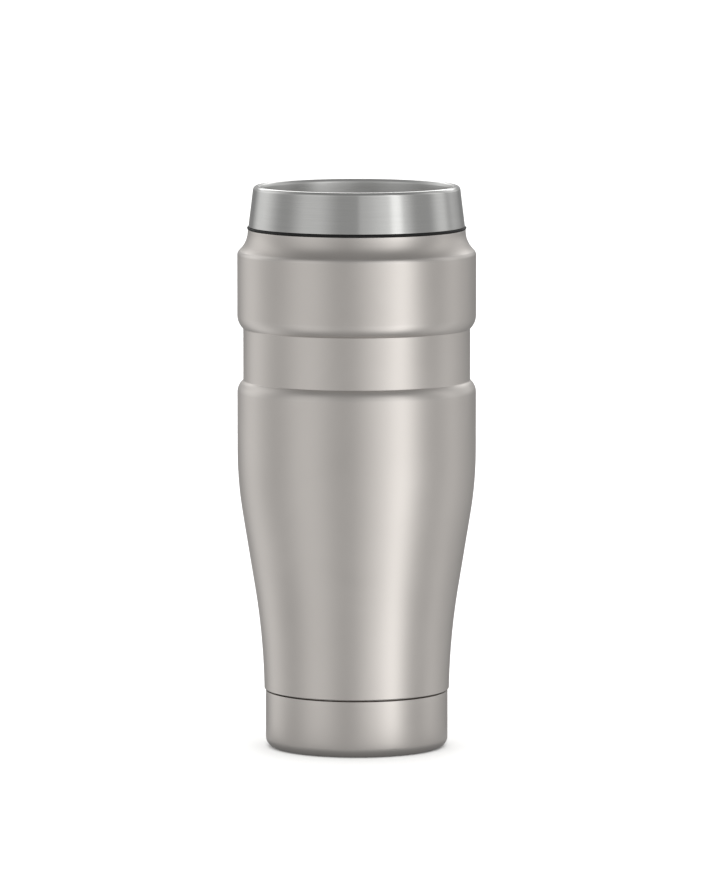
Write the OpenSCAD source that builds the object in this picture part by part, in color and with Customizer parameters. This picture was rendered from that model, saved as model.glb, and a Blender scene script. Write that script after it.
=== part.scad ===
// Insulated travel mug: a double-walled steel vacuum vessel and a screw-in lid with a turning drink valve.
// Millimetres. The origin is the centre of the base, on the surface the mug stands on, with +Z up.

/* [Overall] */
// Height from the table to the top of the lid's rolled lip
mug_h = 196; // [165:1:240]
// Diameter of the two wide bands
body_d = 83; // [69:0.5:100]
// Diameter of the base cup, the part that enters a cup holder
base_d = 63.5; // [56:0.5:66]

/* [Outer shell] */
// Sheet thickness of the outer shell
shell_wall = 0.6; // [0.4:0.1:1]
// How far the neck is set in from the bands
shoulder_step = 3.65; // [2.5:0.05:6]
// Height of the curved shoulder between the neck and the upper band
shoulder_h = 8.3; // [7:0.1:12]
// Radius of the shoulder's lower, convex curve
shoulder_corner = 2.3; // [1:0.1:4]
// Radius of the neck's rounded upper edge
neck_roll = 0.6; // [0.6:0.1:1]
// Height of the straight face of the upper band
upper_band_h = 21; // [14:0.5:30]
// Radius of the upper band's lower edge
upper_edge = 6.2; // [4:0.1:9]
// Depth of the grip groove between the bands
grip_depth = 2.05; // [1:0.05:3]
// Height of the grip groove
grip_h = 18; // [12:0.5:26]
// Radius of the lower band's upper edge
lower_edge = 5.3; // [4:0.1:9]
// Height of the straight face of the lower band
lower_band_h = 20; // [10:0.5:30]
// Largest radius of the convex curve that starts the taper
taper_crown = 139; // [60:1:200]
// Largest radius of the concave curve that ends the taper
taper_sweep = 247; // [100:1:300]
// Depth below the seam at which the taper's curve would stand upright
taper_run_out = 4; // [2:0.5:6]
// Radius of the shell's turned-in lower edge
seam_roll = 0.7; // [0.6:0.05:1]

/* [Base] */
// Height of the seam between the shell and the base cup
base_h = 20; // [14:0.5:30]
// Sheet thickness of the base cup
base_wall = 0.7; // [0.5:0.1:1]
// How far the base cup's face is set in from the shell above it
seam_step = 0.5; // [0.3:0.05:1]
// Radius of the base cup's lower corner
base_corner = 4.6; // [3:0.1:7]
// Width of the flat ring that the mug stands on
foot_w = 2; // [1.5:0.1:4]
// Depth of the recess inside the foot ring
base_recess = 1.4; // [1:0.1:3]
// How far the base cup's neck reaches up inside the shell
cup_neck_h = 6; // [3:0.5:8]
// Diameter of the sealing dimple in the middle of the base cup
dimple_d = 10; // [8:0.5:14]
// Depth of the sealing dimple
dimple_h = 1.6; // [1.2:0.1:2.5]
// Diameter of the evacuation hole
evac_d = 2; // [1:0.1:3]
// Thickness of the cover disc in the recess
base_cover_t = 0.5; // [0.3:0.1:0.8]

/* [Inner vessel] */
// Sheet thickness of the inner vessel
vessel_wall = 0.5; // [0.4:0.1:0.8]
// Vacuum gap between the two walls at the neck
neck_gap = 1.25; // [1:0.05:2]
// Vacuum gap between the two walls at the foot of the taper
foot_gap = 2.4; // [2:0.1:4]
// Height of the neck bore, from the mouth down to the sealing ledge
neck_bore_h = 14; // [12:0.5:18]
// Width of the conical ledge that the plug seals on
ledge_w = 2.5; // [2:0.1:3]
// Height of the conical ledge
ledge_h = 5; // [4:0.1:7]
// Height of the vessel's floor above the table
vessel_floor = 12.5; // [10:0.5:16]
// Radius of the corner between the vessel's floor and wall
vessel_corner = 9; // [6:0.5:12]
// Length of wall that the vessel's bottom has above its corner
bottom_wall_h = 4.5; // [3:0.5:8]
// Height of the vessel's tapered stretch, above the weld to its bottom
vessel_taper_h = 42; // [30:1:60]
// Largest radius of the convex curve that starts the vessel's taper
vessel_crown = 90; // [60:1:200]
// Largest radius of the concave curve that ends the vessel's taper
vessel_sweep = 110; // [60:1:200]
// Thickness of the radiation shield's foil
shield_t = 0.15; // [0.1:0.05:0.3]
// Diameter of the getter pellet
getter_d = 9; // [6:0.5:14]
// Thickness of the getter pellet
getter_t = 1.6; // [1:0.1:3]
// Distance of the getter from the mug's axis
getter_place = 16; // [14:0.5:20]

/* [Thread] */
// Rise of the lid in one turn
thread_lead = 12; // [10:0.5:14]
// Radial depth of the thread ridges
thread_depth = 1.4; // [1:0.1:1.6]
// Width of a ridge where it leaves its wall
thread_root_w = 2.4; // [1.8:0.1:2.8]
// Width of a ridge at its crest
thread_crest_w = 1; // [0.6:0.1:1.2]
// Axial gap between lid ridge and neck ridge when the lid is tight
thread_play = 0.3; // [0.2:0.05:0.6]
// Radial gap between a ridge's crest and the wall it runs past
thread_gap = 0.35; // [0.25:0.05:0.6]
// Angle that each ridge in the neck covers
neck_thread_turn = 220; // [120:10:240]
// Angle that each ridge on the plug covers
plug_thread_turn = 150; // [90:10:160]
// Height of the lowest neck ridge's start above the sealing ledge
thread_lift = 2; // [1.8:0.1:3]

/* [Lid] */
// Visible height of the steel cover
lid_h = 13.6; // [11:0.1:18]
// Height between the mouth and the cover, filled by the neck seal
seal_h = 1.5; // [1.2:0.1:2.5]
// How far the neck seal bulges past the neck
seal_bulge = 0.25; // [0:0.05:0.6]
// Sheet thickness of the cover
cover_wall = 0.5; // [0.4:0.1:0.8]
// How far the cover's lower edge is set in from the neck
cover_inset = 0.33; // [0.1:0.01:1]
// Slope of the cover's outside, in degrees
cover_draft = 7; // [4:0.5:9]
// Slope of the cover's inside, in degrees
inner_draft = 3; // [1:0.5:4]
// Radius of the cover's rolled lip
lip_r = 1.5; // [1.3:0.1:1.9]
// Width of the edge that is crimped in under the lid body
crimp_w = 1.1; // [0.8:0.1:1.4]
// Height of the steel face inside the lip
inner_face_h = 10; // [8:0.5:11]
// Wall thickness of the plug
plug_wall = 2; // [1.5:0.1:2.4]
// How far the deck lies below the cover's lower edge
deck_drop = 1.4; // [1:0.1:2]
// Thickness of the deck
deck_t = 3; // [2.5:0.1:4]
// Height of the plug's silicone seal
plug_seal_h = 2.5; // [2:0.1:3]
// Gap left between the plug's seal and the ledge
ledge_gap = 0.22; // [0.15:0.01:0.3]
// Thickness of the plug cap's floor
cap_t = 2; // [1.5:0.1:3]

/* [Drink dial] */
// Gap between the dial and the well around it
dial_gap = 0.7; // [0.4:0.1:1.5]
// Height of the dial above the deck, where it floats on the gaskets
dial_float = 0.35; // [0.3:0.05:0.6]
// Thickness of the dial's disc
dial_t = 2.75; // [2.5:0.05:3.5]
// Angle between the dial's shut and open stops
dial_turn = 90; // [60:5:90]
// Length of the thumb bar
bar_l = 36; // [24:1:38]
// Width of the thumb bar's ends
bar_w = 11; // [8:0.5:14]
// Width of the thumb bar's waist
bar_waist = 7.4; // [5:0.2:9]
// Height of the thumb bar above the disc
bar_h = 7; // [4:0.5:8]
// Width of the sip port
port_w = 6; // [5:0.5:7]
// Length of the sip port
port_l = 14; // [10:0.5:16]
// Width of the dial's disc outside the sip port
port_margin = 4; // [3.5:0.1:6]
// Diameter of the vent hole
vent_d = 2.4; // [1.5:0.1:3]
// Diameter of the spindle
spindle_d = 8; // [6.5:0.1:10]
// Length of the spindle below the dial's disc
spindle_l = 10.8; // [10:0.1:12]
// Thickness of the boss around the spindle
boss_wall = 3; // [2.5:0.1:4]
// Height of the boss below the deck
boss_h = 2.5; // [2:0.1:3]
// Distance of the stop pin from the mug's axis
stop_r = 13.5; // [12:0.5:16]
// Diameter of the O-ring's cord
o_ring_d = 1.6; // [1.2:0.1:2]
// Share of the O-ring's cord that the groove squeezes flat
o_ring_squeeze = 0.1; // [0.05:0.01:0.15]
// Diameter of the spring's wire
spring_wire = 0.9; // [0.6:0.1:1]
// Number of turns in the spring
spring_turns = 3.5; // [3:0.5:4]
// Outer diameter of the spring's washer
washer_d = 14; // [13:0.5:16]
// Thickness of the spring's washer
washer_t = 0.8; // [0.5:0.1:1.2]
// Diameter of the retaining screw's shank
screw_d = 2.4; // [2:0.1:3]
// Length of the retaining screw's shank
screw_l = 7; // [5:0.5:8]
// Diameter of the retaining screw's head
screw_head_d = 5.6; // [4.5:0.1:7]
// Height of the retaining screw's head
screw_head_h = 1.8; // [1.4:0.1:2.4]

/* [Fits] */
// Radial running clearance of the spindle, and the gap between faces of pieces that move
run_gap = 0.05; // [0.03:0.01:0.1]
// Gap between pieces that are assembled and stay put
seat_gap = 0.05; // [0.02:0.01:0.1]
// Gap around the cover and the neck seal in the lid body
cover_gap = 0.1; // [0.05:0.05:0.2]

/* [Hidden] */
$fn = 96;
steel = "#a9a6a1";
bright_steel = "#b4b3b1";
inner_steel = "#b9b8b5";
foil = "#c9cacc";
ceramic = "#6d6a66";
plastic = "#1d1e20";
silicone = "#141415";
cut = 0.5;

// Small sizes that follow from moulding and assembly
flange_drop = 0.15;
slot_depth = 1.2;
lip_hollow = 1;
seal_overhang = 0.4;
seal_clear = 0.45;
cap_clear = 0.4;
hook_w = 0.8;
hook_h = 1;
shield_clear = 0.15;
spring_clear = 0.7;
stop_pin_r = 1.2;
stop_pin_h = 0.6;
duct_wall = 1.4;
gasket_w = 2.2;
gasket_depth = 1.5;
plastic_edge = 0.8;
bar_hollow = 40;
cover_clear = 0.6;
thread_sink = 0.6;
shield_low_inset = 2;
shield_high_inset = 4;
bead_inset = 0.6;
bead_h = 0.8;
bead_bevel = 0.5;
o_ring_play = 0.1;
lip_bevel = 0.2;
lip_foot = 0.5;
lip_edge = 0.3;
plug_overlap = 0.7;
screw_tip_gap = 0.5;
closed_turn = 1.05;
taper_spare = 0.98;
recess_share = 0.6;
thread_step = 5;
fade_steps = 5;

// Heights of the outer shell, from the mouth down to the seam
mouth_z = mug_h - lid_h - seal_h;
cove_z = mouth_z - neck_roll;
upper_band_z = cove_z - shoulder_h;
upper_edge_z = upper_band_z - upper_band_h;
grip_top_z = upper_edge_z - edge_drop(upper_edge, 0);
grip_low_z = grip_top_z - grip_h;
lower_edge_z = grip_low_z - edge_drop(lower_edge, 0);
taper_z = lower_edge_z - lower_band_h;
taper_end_z = base_h - taper_run_out;
seam_z = base_h + seam_roll;

// Radii of the outer shell and the base cup
body_r = body_d / 2;
neck_r = body_r - shoulder_step;
grip_r = body_r - grip_depth;
base_r = base_d / 2;
foot_r = base_r + seam_step - pow(seam_z - taper_end_z, 2) / (2 * taper_sweep);
shell_taper = taper(body_r, taper_z, foot_r, taper_end_z, taper_crown, taper_sweep, 0, seam_z);
seam_r = shell_taper[len(shell_taper) - 1][0];
cup_neck_r = seam_r - seam_roll - seat_gap;
foot_in_r = base_r - base_corner - foot_w;
cup_roll = base_r - cup_neck_r;

// Inner vessel
neck_in_r = neck_r - shell_wall - neck_gap - vessel_wall;
vessel_r = neck_in_r - ledge_w;
vessel_low_r = min(vessel_r - 0.2, foot_r - shell_wall - foot_gap - vessel_wall);
ledge_top_z = mouth_z - neck_bore_h;
ledge_low_z = ledge_top_z - ledge_h;
weld_z = vessel_floor + vessel_corner + bottom_wall_h;
vessel_taper_z = weld_z + vessel_taper_h;

// Threads: two starts, so ridges lie half a lead apart
thread_slope = (thread_root_w - thread_crest_w) / 2 / thread_depth;
thread_offset = thread_root_w - thread_slope * (thread_depth + thread_gap) + thread_play;
neck_thread_z = ledge_top_z + thread_lift;
plug_thread_z = neck_thread_z - thread_offset;

// Lid
lid_z = mug_h - lid_h;
flange_z = lid_z - flange_drop;
lip_z = mug_h - lip_r;
cover_low_r = neck_r - cover_inset;
lip_mid_r = cover_low_r - lip_r / cos(cover_draft) - tan(cover_draft) * (lip_z - lid_z);
crimp_r = cover_low_r - crimp_w;
inner_end_z = mug_h - inner_face_h;
well_top_z = inner_end_z + slot_depth;
core_top_z = lip_z - lip_hollow;
plug_r = neck_in_r - thread_depth - thread_gap;
well_r = plug_r - plug_wall;
deck_z = lid_z - deck_drop;
deck_low_z = deck_z - deck_t;
plug_seal_z = ledge_low_z - seal_overhang;
plug_z = plug_seal_z + plug_seal_h;
cap_z = plug_seal_z - cap_t;
seal_in_r = plug_r + seal_clear;
seal_hook_r = (seal_in_r + crimp_r) / 2;
cap_r = vessel_r - cap_clear;

// Drink dial
dial_r = well_r - dial_gap;
dial_z = deck_z + dial_float;
dial_top_z = dial_z + dial_t;
port_r = dial_r - port_margin - port_w / 2;
port_angle = 270;
vent_angle = port_angle - 180;
spindle_r = spindle_d / 2;
spindle_z = dial_z - spindle_l;
bore_r = spindle_r + run_gap;
boss_r = spindle_r + boss_wall;
boss_z = deck_low_z - boss_h;
o_ring_z = deck_low_z + deck_t / 2;
groove_r = spindle_r - o_ring_d * (1 - o_ring_squeeze) + run_gap;
spring_r = spindle_r + spring_wire / 2 + spring_clear;

// Drop of an edge curve, from where it leaves the band to where it meets the grip groove
function edge_drop(edge, w) =
    let (reach = edge - w, short = edge - grip_depth - w)
    sqrt(reach * reach - short * short);

// Points of an arc in the (radius, height) plane, with a centre, a radius and two angles
function arc(r, z, size, a0, a1, steps = 8) = [
    for (i = [0 : steps])
        let (a = a0 + (a1 - a0) * i / steps)
        [r + size * cos(a), z + size * sin(a)]
];

// Two tangent arcs that lead from radius r1 at height z1 down to radius r2 at height z2, upright at
// both ends, with the lower arc convex; w insets the line into the wall
function shoulder(r1, z1, r2, z2, corner, w) =
    let (
        step = r2 - r1,
        drop = z1 - z2,
        both = (step * step + drop * drop) / (2 * step),
        turn = 2 * atan2(step, drop),
        cove = both - corner
    )
    concat(
        arc(r1 + cove, z1, cove + w, 180, 180 + turn),
        arc(r2 - corner, z2, corner - w, turn, 0)
    );

// An arc, a straight cone and a second arc that lead from r1 at z1 down to the smaller r2 at z2,
// upright at both ends and cut off at the height stop; the two radii shrink together where the
// height is too short for them
function taper(r1, z1, r2, z2, crown, sweep, w, stop) =
    let (
        step = r1 - r2,
        drop = z1 - z2,
        room = (step * step + drop * drop) / (2 * step),
        fit = min(1, taper_spare * room / (crown + sweep)),
        upper = crown * fit,
        lower = sweep * fit,
        both = upper + lower,
        slope = atan2(drop, both - step) - acos(both / norm([both - step, drop]))
    )
    concat(
        arc(r1 - upper, z1, upper - w, 0, -slope),
        arc(r2 + lower, z2, lower + w, 180 - slope, 180 - asin((stop - z2) / lower))
    );

// Face of the outer shell from the neck down to its turned-in foot, inset by w
function shell_line(w) =
    let (
        upper_turn = acos((upper_edge - grip_depth - w) / (upper_edge - w)),
        lower_turn = acos((lower_edge - grip_depth - w) / (lower_edge - w))
    )
    concat(
        [[neck_in_r + vessel_wall + seat_gap, mouth_z - w]],
        arc(neck_r - neck_roll, cove_z, neck_roll - w, 90, 0, 4),
        shoulder(neck_r, cove_z, body_r, upper_band_z, shoulder_corner, w),
        arc(body_r - upper_edge, upper_edge_z, upper_edge - w, 0, -upper_turn),
        arc(body_r - lower_edge, lower_edge_z, lower_edge - w, lower_turn, 0),
        taper(body_r, taper_z, foot_r, taper_end_z, taper_crown, taper_sweep, w, seam_z),
        arc(seam_r - seam_roll, seam_z, seam_roll - w, 0, -90, 4)
    );

// Face of the base cup from its hidden neck down to the middle of its floor, inset by w
function base_line(w) = concat(
    [[cup_neck_r - w, base_h + cup_neck_h], [cup_neck_r - w, base_h]],
    arc(cup_neck_r - w, base_h - cup_roll - w, cup_roll, 90, 0, 3),
    arc(base_r - base_corner, base_corner, base_corner - w, 0, -90),
    [
        [foot_in_r, w],
        [foot_in_r - base_recess / 2, base_recess + w],
        [dimple_d / 2, base_recess + w],
        [dimple_d / 2 - dimple_h / 2, base_recess + dimple_h + w],
        [evac_d / 2, base_recess + dimple_h + w]
    ]
);

// Inner face of the vessel from the mouth down to its weld, inset by w into the sheet
function vessel_line(w) = concat(
    [
        [neck_in_r + w, mouth_z],
        [neck_in_r + w, ledge_top_z],
        [vessel_r + w, ledge_low_z]
    ],
    taper(vessel_r, vessel_taper_z, vessel_low_r, weld_z, vessel_crown, vessel_sweep, -w, weld_z)
);

// Radius of the sealing ledge at height z
function ledge_at(z) = vessel_r + ledge_w * (z - ledge_low_z) / ledge_h;

// Radius of the cover's sheet at height z, inset by w: its outside and its inside
function cover_out(z, w) = lip_mid_r + (lip_r - w) / cos(cover_draft) - tan(cover_draft) * (z - lip_z);
function cover_in(z, w) = lip_mid_r - (lip_r - w) / cos(inner_draft) + tan(inner_draft) * (z - lip_z);

// Reversed copy of a list of points
function back(points) = [for (i = [len(points) - 1 : -1 : 0]) points[i]];

// Solid through a row of closed point loops, each with the same number of points
module sweep(loops) {
    count = len(loops);
    sides = len(loops[0]);
    points = [for (loop = loops) each loop];
    skin = [
        for (i = [0 : count - 2], j = [0 : sides - 1])
            let (k = (j + 1) % sides, a = i * sides, b = a + sides)
            each [[a + j, b + k, b + j], [a + j, a + k, b + k]]
    ];
    first = [for (j = [sides - 1 : -1 : 0]) j];
    last = [for (j = [0 : sides - 1]) (count - 1) * sides + j];
    polyhedron(points, concat(skin, [first, last]));
}

// One helical thread ridge that fades into its wall at both ends; a negative depth points inwards
module thread_ridge(root_r, depth, embed, z, turn) {
    way = sign(depth);
    steps = round(turn / thread_step);
    behind = root_r - embed * way;
    sunk = root_r - way * embed / 2;
    loops = [
        for (i = [0 : steps])
            let (
                a = turn * i / steps,
                rise = min(1, i / fade_steps, (steps - i) / fade_steps),
                crest = sunk + (root_r + depth - sunk) * rise,
                half = thread_crest_w / 2,
                foot = half + thread_slope * abs(crest - behind),
                mid = z + thread_lead * a / 360,
                section = [[behind, -foot], [crest, -half], [crest, half], [behind, foot]]
            )
            [for (p = way > 0 ? section : back(section)) [p[0] * cos(a), p[0] * sin(a), mid + p[1]]]
    ];
    sweep(loops);
}

// Both starts of a thread
module thread(root_r, depth, embed, z, turn) {
    for (start = [0, 180])
        rotate([0, 0, start])
            thread_ridge(root_r, depth, embed, z, turn);
}

// Slot outline with round ends, its length along Y
module slot(length, width) {
    square([width, length - width], center = true);
    for (side = [-1, 1])
        translate([0, side * (length - width) / 2])
            circle(d = width);
}

// Sip port outline grown by a margin, at its place on the dial or deck turned to an angle
module port(margin, angle) {
    rotate([0, 0, angle])
        translate([port_r, 0])
            slot(port_l + 2 * margin, port_w + 2 * margin);
}

// Vent outline grown by a margin, opposite the sip port of the same angle
module vent(margin, angle) {
    rotate([0, 0, angle])
        translate([port_r, 0])
            circle(d = vent_d + 2 * margin);
}

// Drawn and rolled stainless sheet with its shoulder, bands, grip groove and long taper
module outer_shell() {
    color(steel)
        rotate_extrude()
            polygon(concat(shell_line(0), back(shell_line(shell_wall))));
}

// Pressed cup that closes the shell's foot, with a dimple for the evacuation hole
module base_cup() {
    color(steel)
        rotate_extrude()
            polygon(concat(base_line(0), back(base_line(base_wall))));
}

// Thin disc glued into the recess over the evacuation hole
module base_cover() {
    color(bright_steel)
        translate([0, 0, base_recess - seat_gap - base_cover_t])
            cylinder(r = foot_in_r - base_recess / 2 - seat_gap - cover_clear, h = base_cover_t);
}

// Drawn inner wall with its mouth, threaded neck and sealing ledge
module inner_vessel() {
    color(inner_steel) {
        rotate_extrude()
            polygon(concat(vessel_line(0), back(vessel_line(vessel_wall))));
        thread(neck_in_r, -thread_depth, thread_sink * vessel_wall, neck_thread_z, neck_thread_turn);
    }
}

// Drawn bottom of the inner vessel, butt welded to its wall
module inner_bottom() {
    corner_r = vessel_low_r - vessel_corner;
    corner_z = vessel_floor + vessel_corner;
    top_z = weld_z - seat_gap;
    color(inner_steel)
        rotate_extrude()
            polygon(concat(
                [[0, vessel_floor]],
                arc(corner_r, corner_z, vessel_corner, -90, 0),
                [[vessel_low_r, top_z], [vessel_low_r + vessel_wall, top_z]],
                arc(corner_r, corner_z, vessel_corner + vessel_wall, 0, -90),
                [[0, vessel_floor - vessel_wall]]
            ));
}

// Foil sleeve wrapped round the inner vessel, inside the vacuum
module heat_shield() {
    inner = vessel_r + vessel_wall + shield_clear;
    low_z = vessel_taper_z + shield_low_inset;
    color(foil)
        translate([0, 0, low_z])
            difference() {
                cylinder(r = inner + shield_t, h = ledge_low_z - shield_high_inset - low_z);
                translate([0, 0, -cut])
                    cylinder(r = inner, h = mug_h);
            }
}

// Getter pellet that keeps the vacuum clean, welded to the base cup's inside
module getter() {
    color(ceramic)
        translate([getter_place, 0, base_recess + base_wall + seat_gap])
            cylinder(d = getter_d, h = getter_t);
}

// Bead of solder glass that closes the evacuation hole from below
module vacuum_seal() {
    ceiling = base_recess + dimple_h - seat_gap;
    bead_r = dimple_d / 2 - dimple_h / 2 - bead_inset;
    color(ceramic)
        rotate_extrude()
            polygon([
                [0, ceiling - bead_h],
                [bead_r - bead_bevel, ceiling - bead_h],
                [bead_r, ceiling - bead_h / 2],
                [bead_r, ceiling],
                [evac_d / 2 - seat_gap, ceiling],
                [evac_d / 2 - seat_gap, ceiling + base_wall],
                [0, ceiling + base_wall]
            ]);
}

// Silicone ring between mouth and lid, hooked into the lid body's flange
module neck_seal() {
    low = mouth_z + run_gap;
    high = flange_z - run_gap;
    bulge = (high - low) / 2;
    color(silicone)
        rotate_extrude()
            polygon(concat(
                [[seal_in_r, low]],
                arc(neck_r + seal_bulge - bulge, low + bulge, bulge, -90, 90),
                [
                    [seal_hook_r + hook_w / 2, high],
                    [seal_hook_r + hook_w / 2, high + hook_h],
                    [seal_hook_r - hook_w / 2, high + hook_h],
                    [seal_hook_r - hook_w / 2, high],
                    [seal_in_r, high]
                ]
            ));
}

// Steel cover: one sheet that runs up the outside, over the lip and down the inside
module lid_cover() {
    edge = 0.3;
    color(bright_steel)
        rotate_extrude()
            polygon(concat(
                [[crimp_r, lid_z]],
                arc(cover_out(lid_z + edge, edge), lid_z + edge, edge, -90, cover_draft, 3),
                arc(lip_mid_r, lip_z, lip_r, cover_draft, 180 - inner_draft, 16),
                [[cover_in(inner_end_z, 0), inner_end_z], [cover_in(inner_end_z, cover_wall), inner_end_z]],
                arc(lip_mid_r, lip_z, lip_r - cover_wall, 180 - inner_draft, cover_draft, 16),
                [[cover_out(lid_z + cover_wall, cover_wall), lid_z + cover_wall], [crimp_r, lid_z + cover_wall]]
            ));
}

// Moulded lid body: the ring inside the cover, the well and its deck, and the threaded plug
module lid_body() {
    behind = cover_wall + cover_gap;
    foot_z = lid_z + behind;
    hook_in = seal_hook_r - hook_w / 2 - cover_gap;
    hook_out = seal_hook_r + hook_w / 2 + cover_gap;
    hook_z = flange_z + hook_h + cover_gap;
    slot_z = inner_end_z - cover_gap;
    round_in = 0.3;
    color(plastic) {
        difference() {
            rotate_extrude()
                polygon(concat(
                    [[plug_r, plug_z], [plug_r, flange_z], [hook_in, flange_z], [hook_in, hook_z]],
                    [[hook_out, hook_z], [hook_out, flange_z], [crimp_r - cover_gap, flange_z]],
                    [[crimp_r - cover_gap, foot_z], [cover_out(foot_z, behind), foot_z]],
                    [[cover_out(core_top_z, behind), core_top_z], [cover_in(core_top_z, behind), core_top_z]],
                    [[cover_in(slot_z, behind), slot_z], [cover_in(slot_z, -cover_gap), slot_z]],
                    [[cover_in(slot_z, -cover_gap), well_top_z]],
                    arc(well_r + round_in, well_top_z - round_in, round_in, 90, 180, 3),
                    [[well_r, deck_z], [bore_r, deck_z], [bore_r, boss_z], [boss_r, boss_z]],
                    [[boss_r, deck_low_z], [well_r, deck_low_z], [well_r, plug_z]]
                ));
            translate([0, 0, deck_low_z - cut])
                linear_extrude(deck_t + 2 * cut) {
                    port(0, port_angle);
                    vent(0, vent_angle);
                }
            translate([0, 0, deck_z - gasket_depth])
                linear_extrude(gasket_depth + cut) {
                    port(gasket_w, port_angle);
                    vent(gasket_w, vent_angle);
                }
        }
        rotate([0, 0, port_angle + 45])
            translate([stop_r, 0, deck_z - cut])
                cylinder(r = stop_pin_r, h = cut + dial_float + stop_pin_h);
        thread(plug_r, thread_depth, thread_sink, plug_thread_z, plug_thread_turn);
    }
}

// Moulded cap that closes the plug, with a duct for the drink and one for the air
module plug_cap() {
    spigot_r = well_r - seat_gap;
    spigot_h = 2;
    color(plastic)
        difference() {
            union() {
                rotate_extrude()
                    polygon(concat(
                        [[0, cap_z]],
                        arc(cap_r - plastic_edge, cap_z + plastic_edge, plastic_edge, -90, 0, 4),
                        [[cap_r, plug_seal_z], [spigot_r, plug_seal_z], [spigot_r, plug_z + spigot_h]],
                        [[spigot_r - plug_wall, plug_z + spigot_h], [spigot_r - plug_wall, plug_seal_z]],
                        [[0, plug_seal_z]]
                    ));
                translate([0, 0, cap_z + plastic_edge])
                    linear_extrude(deck_low_z - seat_gap - cap_z - plastic_edge) {
                        port(duct_wall, port_angle);
                        vent(duct_wall, vent_angle);
                    }
            }
            translate([0, 0, cap_z - cut])
                linear_extrude(deck_low_z - cap_z + 2 * cut) {
                    port(0, port_angle);
                    vent(0, vent_angle);
                }
        }
}

// Silicone seal round the plug's end, with a lip that follows the ledge
module plug_seal() {
    low = plug_seal_z + seat_gap;
    high = plug_z - seat_gap;
    lip_low = low + 2 * lip_edge;
    lip_top = high - lip_foot;
    rim_r = ledge_at(lip_top - lip_edge) - ledge_gap;
    color(silicone)
        rotate_extrude()
            polygon([
                [well_r + seat_gap, low],
                [ledge_at(lip_low - lip_bevel) - ledge_gap - lip_bevel, low],
                [ledge_at(lip_low) - ledge_gap, lip_low],
                [rim_r, lip_top - lip_edge],
                [rim_r, lip_top],
                [plug_r - plug_overlap, high],
                [well_r + seat_gap, high]
            ]);
}

// Silicone gasket round the sip port, in its pocket in the deck
module port_gasket() {
    color(silicone)
        translate([0, 0, deck_z - gasket_depth + seat_gap])
            linear_extrude(gasket_depth + dial_float - seat_gap - run_gap)
                difference() {
                    port(gasket_w - seat_gap, port_angle);
                    port(0, port_angle);
                }
}

// Silicone gasket round the vent, in its pocket in the deck
module vent_gasket() {
    color(silicone)
        translate([0, 0, deck_z - gasket_depth + seat_gap])
            linear_extrude(gasket_depth + dial_float - seat_gap - run_gap)
                difference() {
                    vent(gasket_w - seat_gap, vent_angle);
                    vent(0, vent_angle);
                }
}

// Stop groove under the dial, that the deck's pin runs in
module stop_groove() {
    slack = 0.2;
    width = 2 * (stop_pin_r + slack);
    height = stop_pin_h + slack + cut;
    translate([0, 0, dial_z - cut])
        rotate([0, 0, port_angle + 45 - dial_turn]) {
            rotate_extrude(angle = dial_turn)
                translate([stop_r - width / 2, 0])
                    square([width, height]);
            for (end = [0, dial_turn])
                rotate([0, 0, end])
                    translate([stop_r, 0, 0])
                        cylinder(d = width, h = height);
        }
}

// Turning drink valve: a disc with a thumb bar on top and a spindle below
module drink_dial() {
    shut = port_angle - dial_turn;
    o_ring_half = o_ring_d / 2 + o_ring_play;
    color(plastic)
        difference() {
            union() {
                rotate_extrude()
                    polygon(concat(
                        [[0, spindle_z], [spindle_r, spindle_z], [spindle_r, o_ring_z - o_ring_half]],
                        [[groove_r, o_ring_z - o_ring_half], [groove_r, o_ring_z + o_ring_half]],
                        [[spindle_r, o_ring_z + o_ring_half], [spindle_r, dial_z], [dial_r, dial_z]],
                        arc(dial_r - plastic_edge, dial_top_z - plastic_edge, plastic_edge, 0, 90, 4),
                        [[0, dial_top_z]]
                    ));
                rotate([0, 0, shut])
                    translate([0, 0, dial_top_z - cut])
                        linear_extrude(bar_h + cut)
                            thumb_bar_outline();
            }
            translate([0, 0, dial_z - cut])
                linear_extrude(dial_t + 2 * cut) {
                    port(0, shut);
                    vent(0, shut + 180);
                }
            stop_groove();
            translate([0, 0, spindle_z - cut])
                cylinder(d = screw_d + 2 * seat_gap, h = screw_l + cut);
        }
}

// Thumb bar outline: a slot with both long sides hollowed to a waist
module thumb_bar_outline() {
    difference() {
        rotate([0, 0, 90])
            slot(bar_l, bar_w);
        for (side = [-1, 1])
            translate([0, side * (bar_hollow + bar_waist / 2)])
                circle(r = bar_hollow);
    }
}

// O-ring round the spindle, squeezed flat where it meets the groove and the bore
module spindle_o_ring() {
    inner = groove_r + seat_gap;
    outer = bore_r - run_gap / 2;
    color(silicone)
        rotate_extrude()
            intersection() {
                translate([(inner + outer) / 2, o_ring_z])
                    circle(d = o_ring_d);
                translate([inner, o_ring_z - o_ring_d])
                    square([outer - inner, 2 * o_ring_d]);
            }
}

// Coil spring between the boss and the washer, with a closed turn at each end
module dial_spring() {
    low = spindle_z + seat_gap + spring_wire / 2;
    high = boss_z - run_gap - spring_wire / 2;
    steps = round(spring_turns * 24);
    close = spring_wire * closed_turn;
    open = (high - low - 2 * close) / (spring_turns - 2);
    loops = [
        for (i = [0 : steps])
            let (
                turns = spring_turns * i / steps,
                before = min(turns, 1),
                middle = min(max(turns - 1, 0), spring_turns - 2),
                after = max(turns - spring_turns + 1, 0),
                z = low + close * (before + after) + open * middle
            )
            [
                for (j = [0 : 7])
                    let (r = spring_r + spring_wire / 2 * cos(45 * j))
                    [r * cos(360 * turns), r * sin(360 * turns), z + spring_wire / 2 * sin(45 * j)]
            ]
    ];
    color(inner_steel)
        sweep(loops);
}

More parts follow.
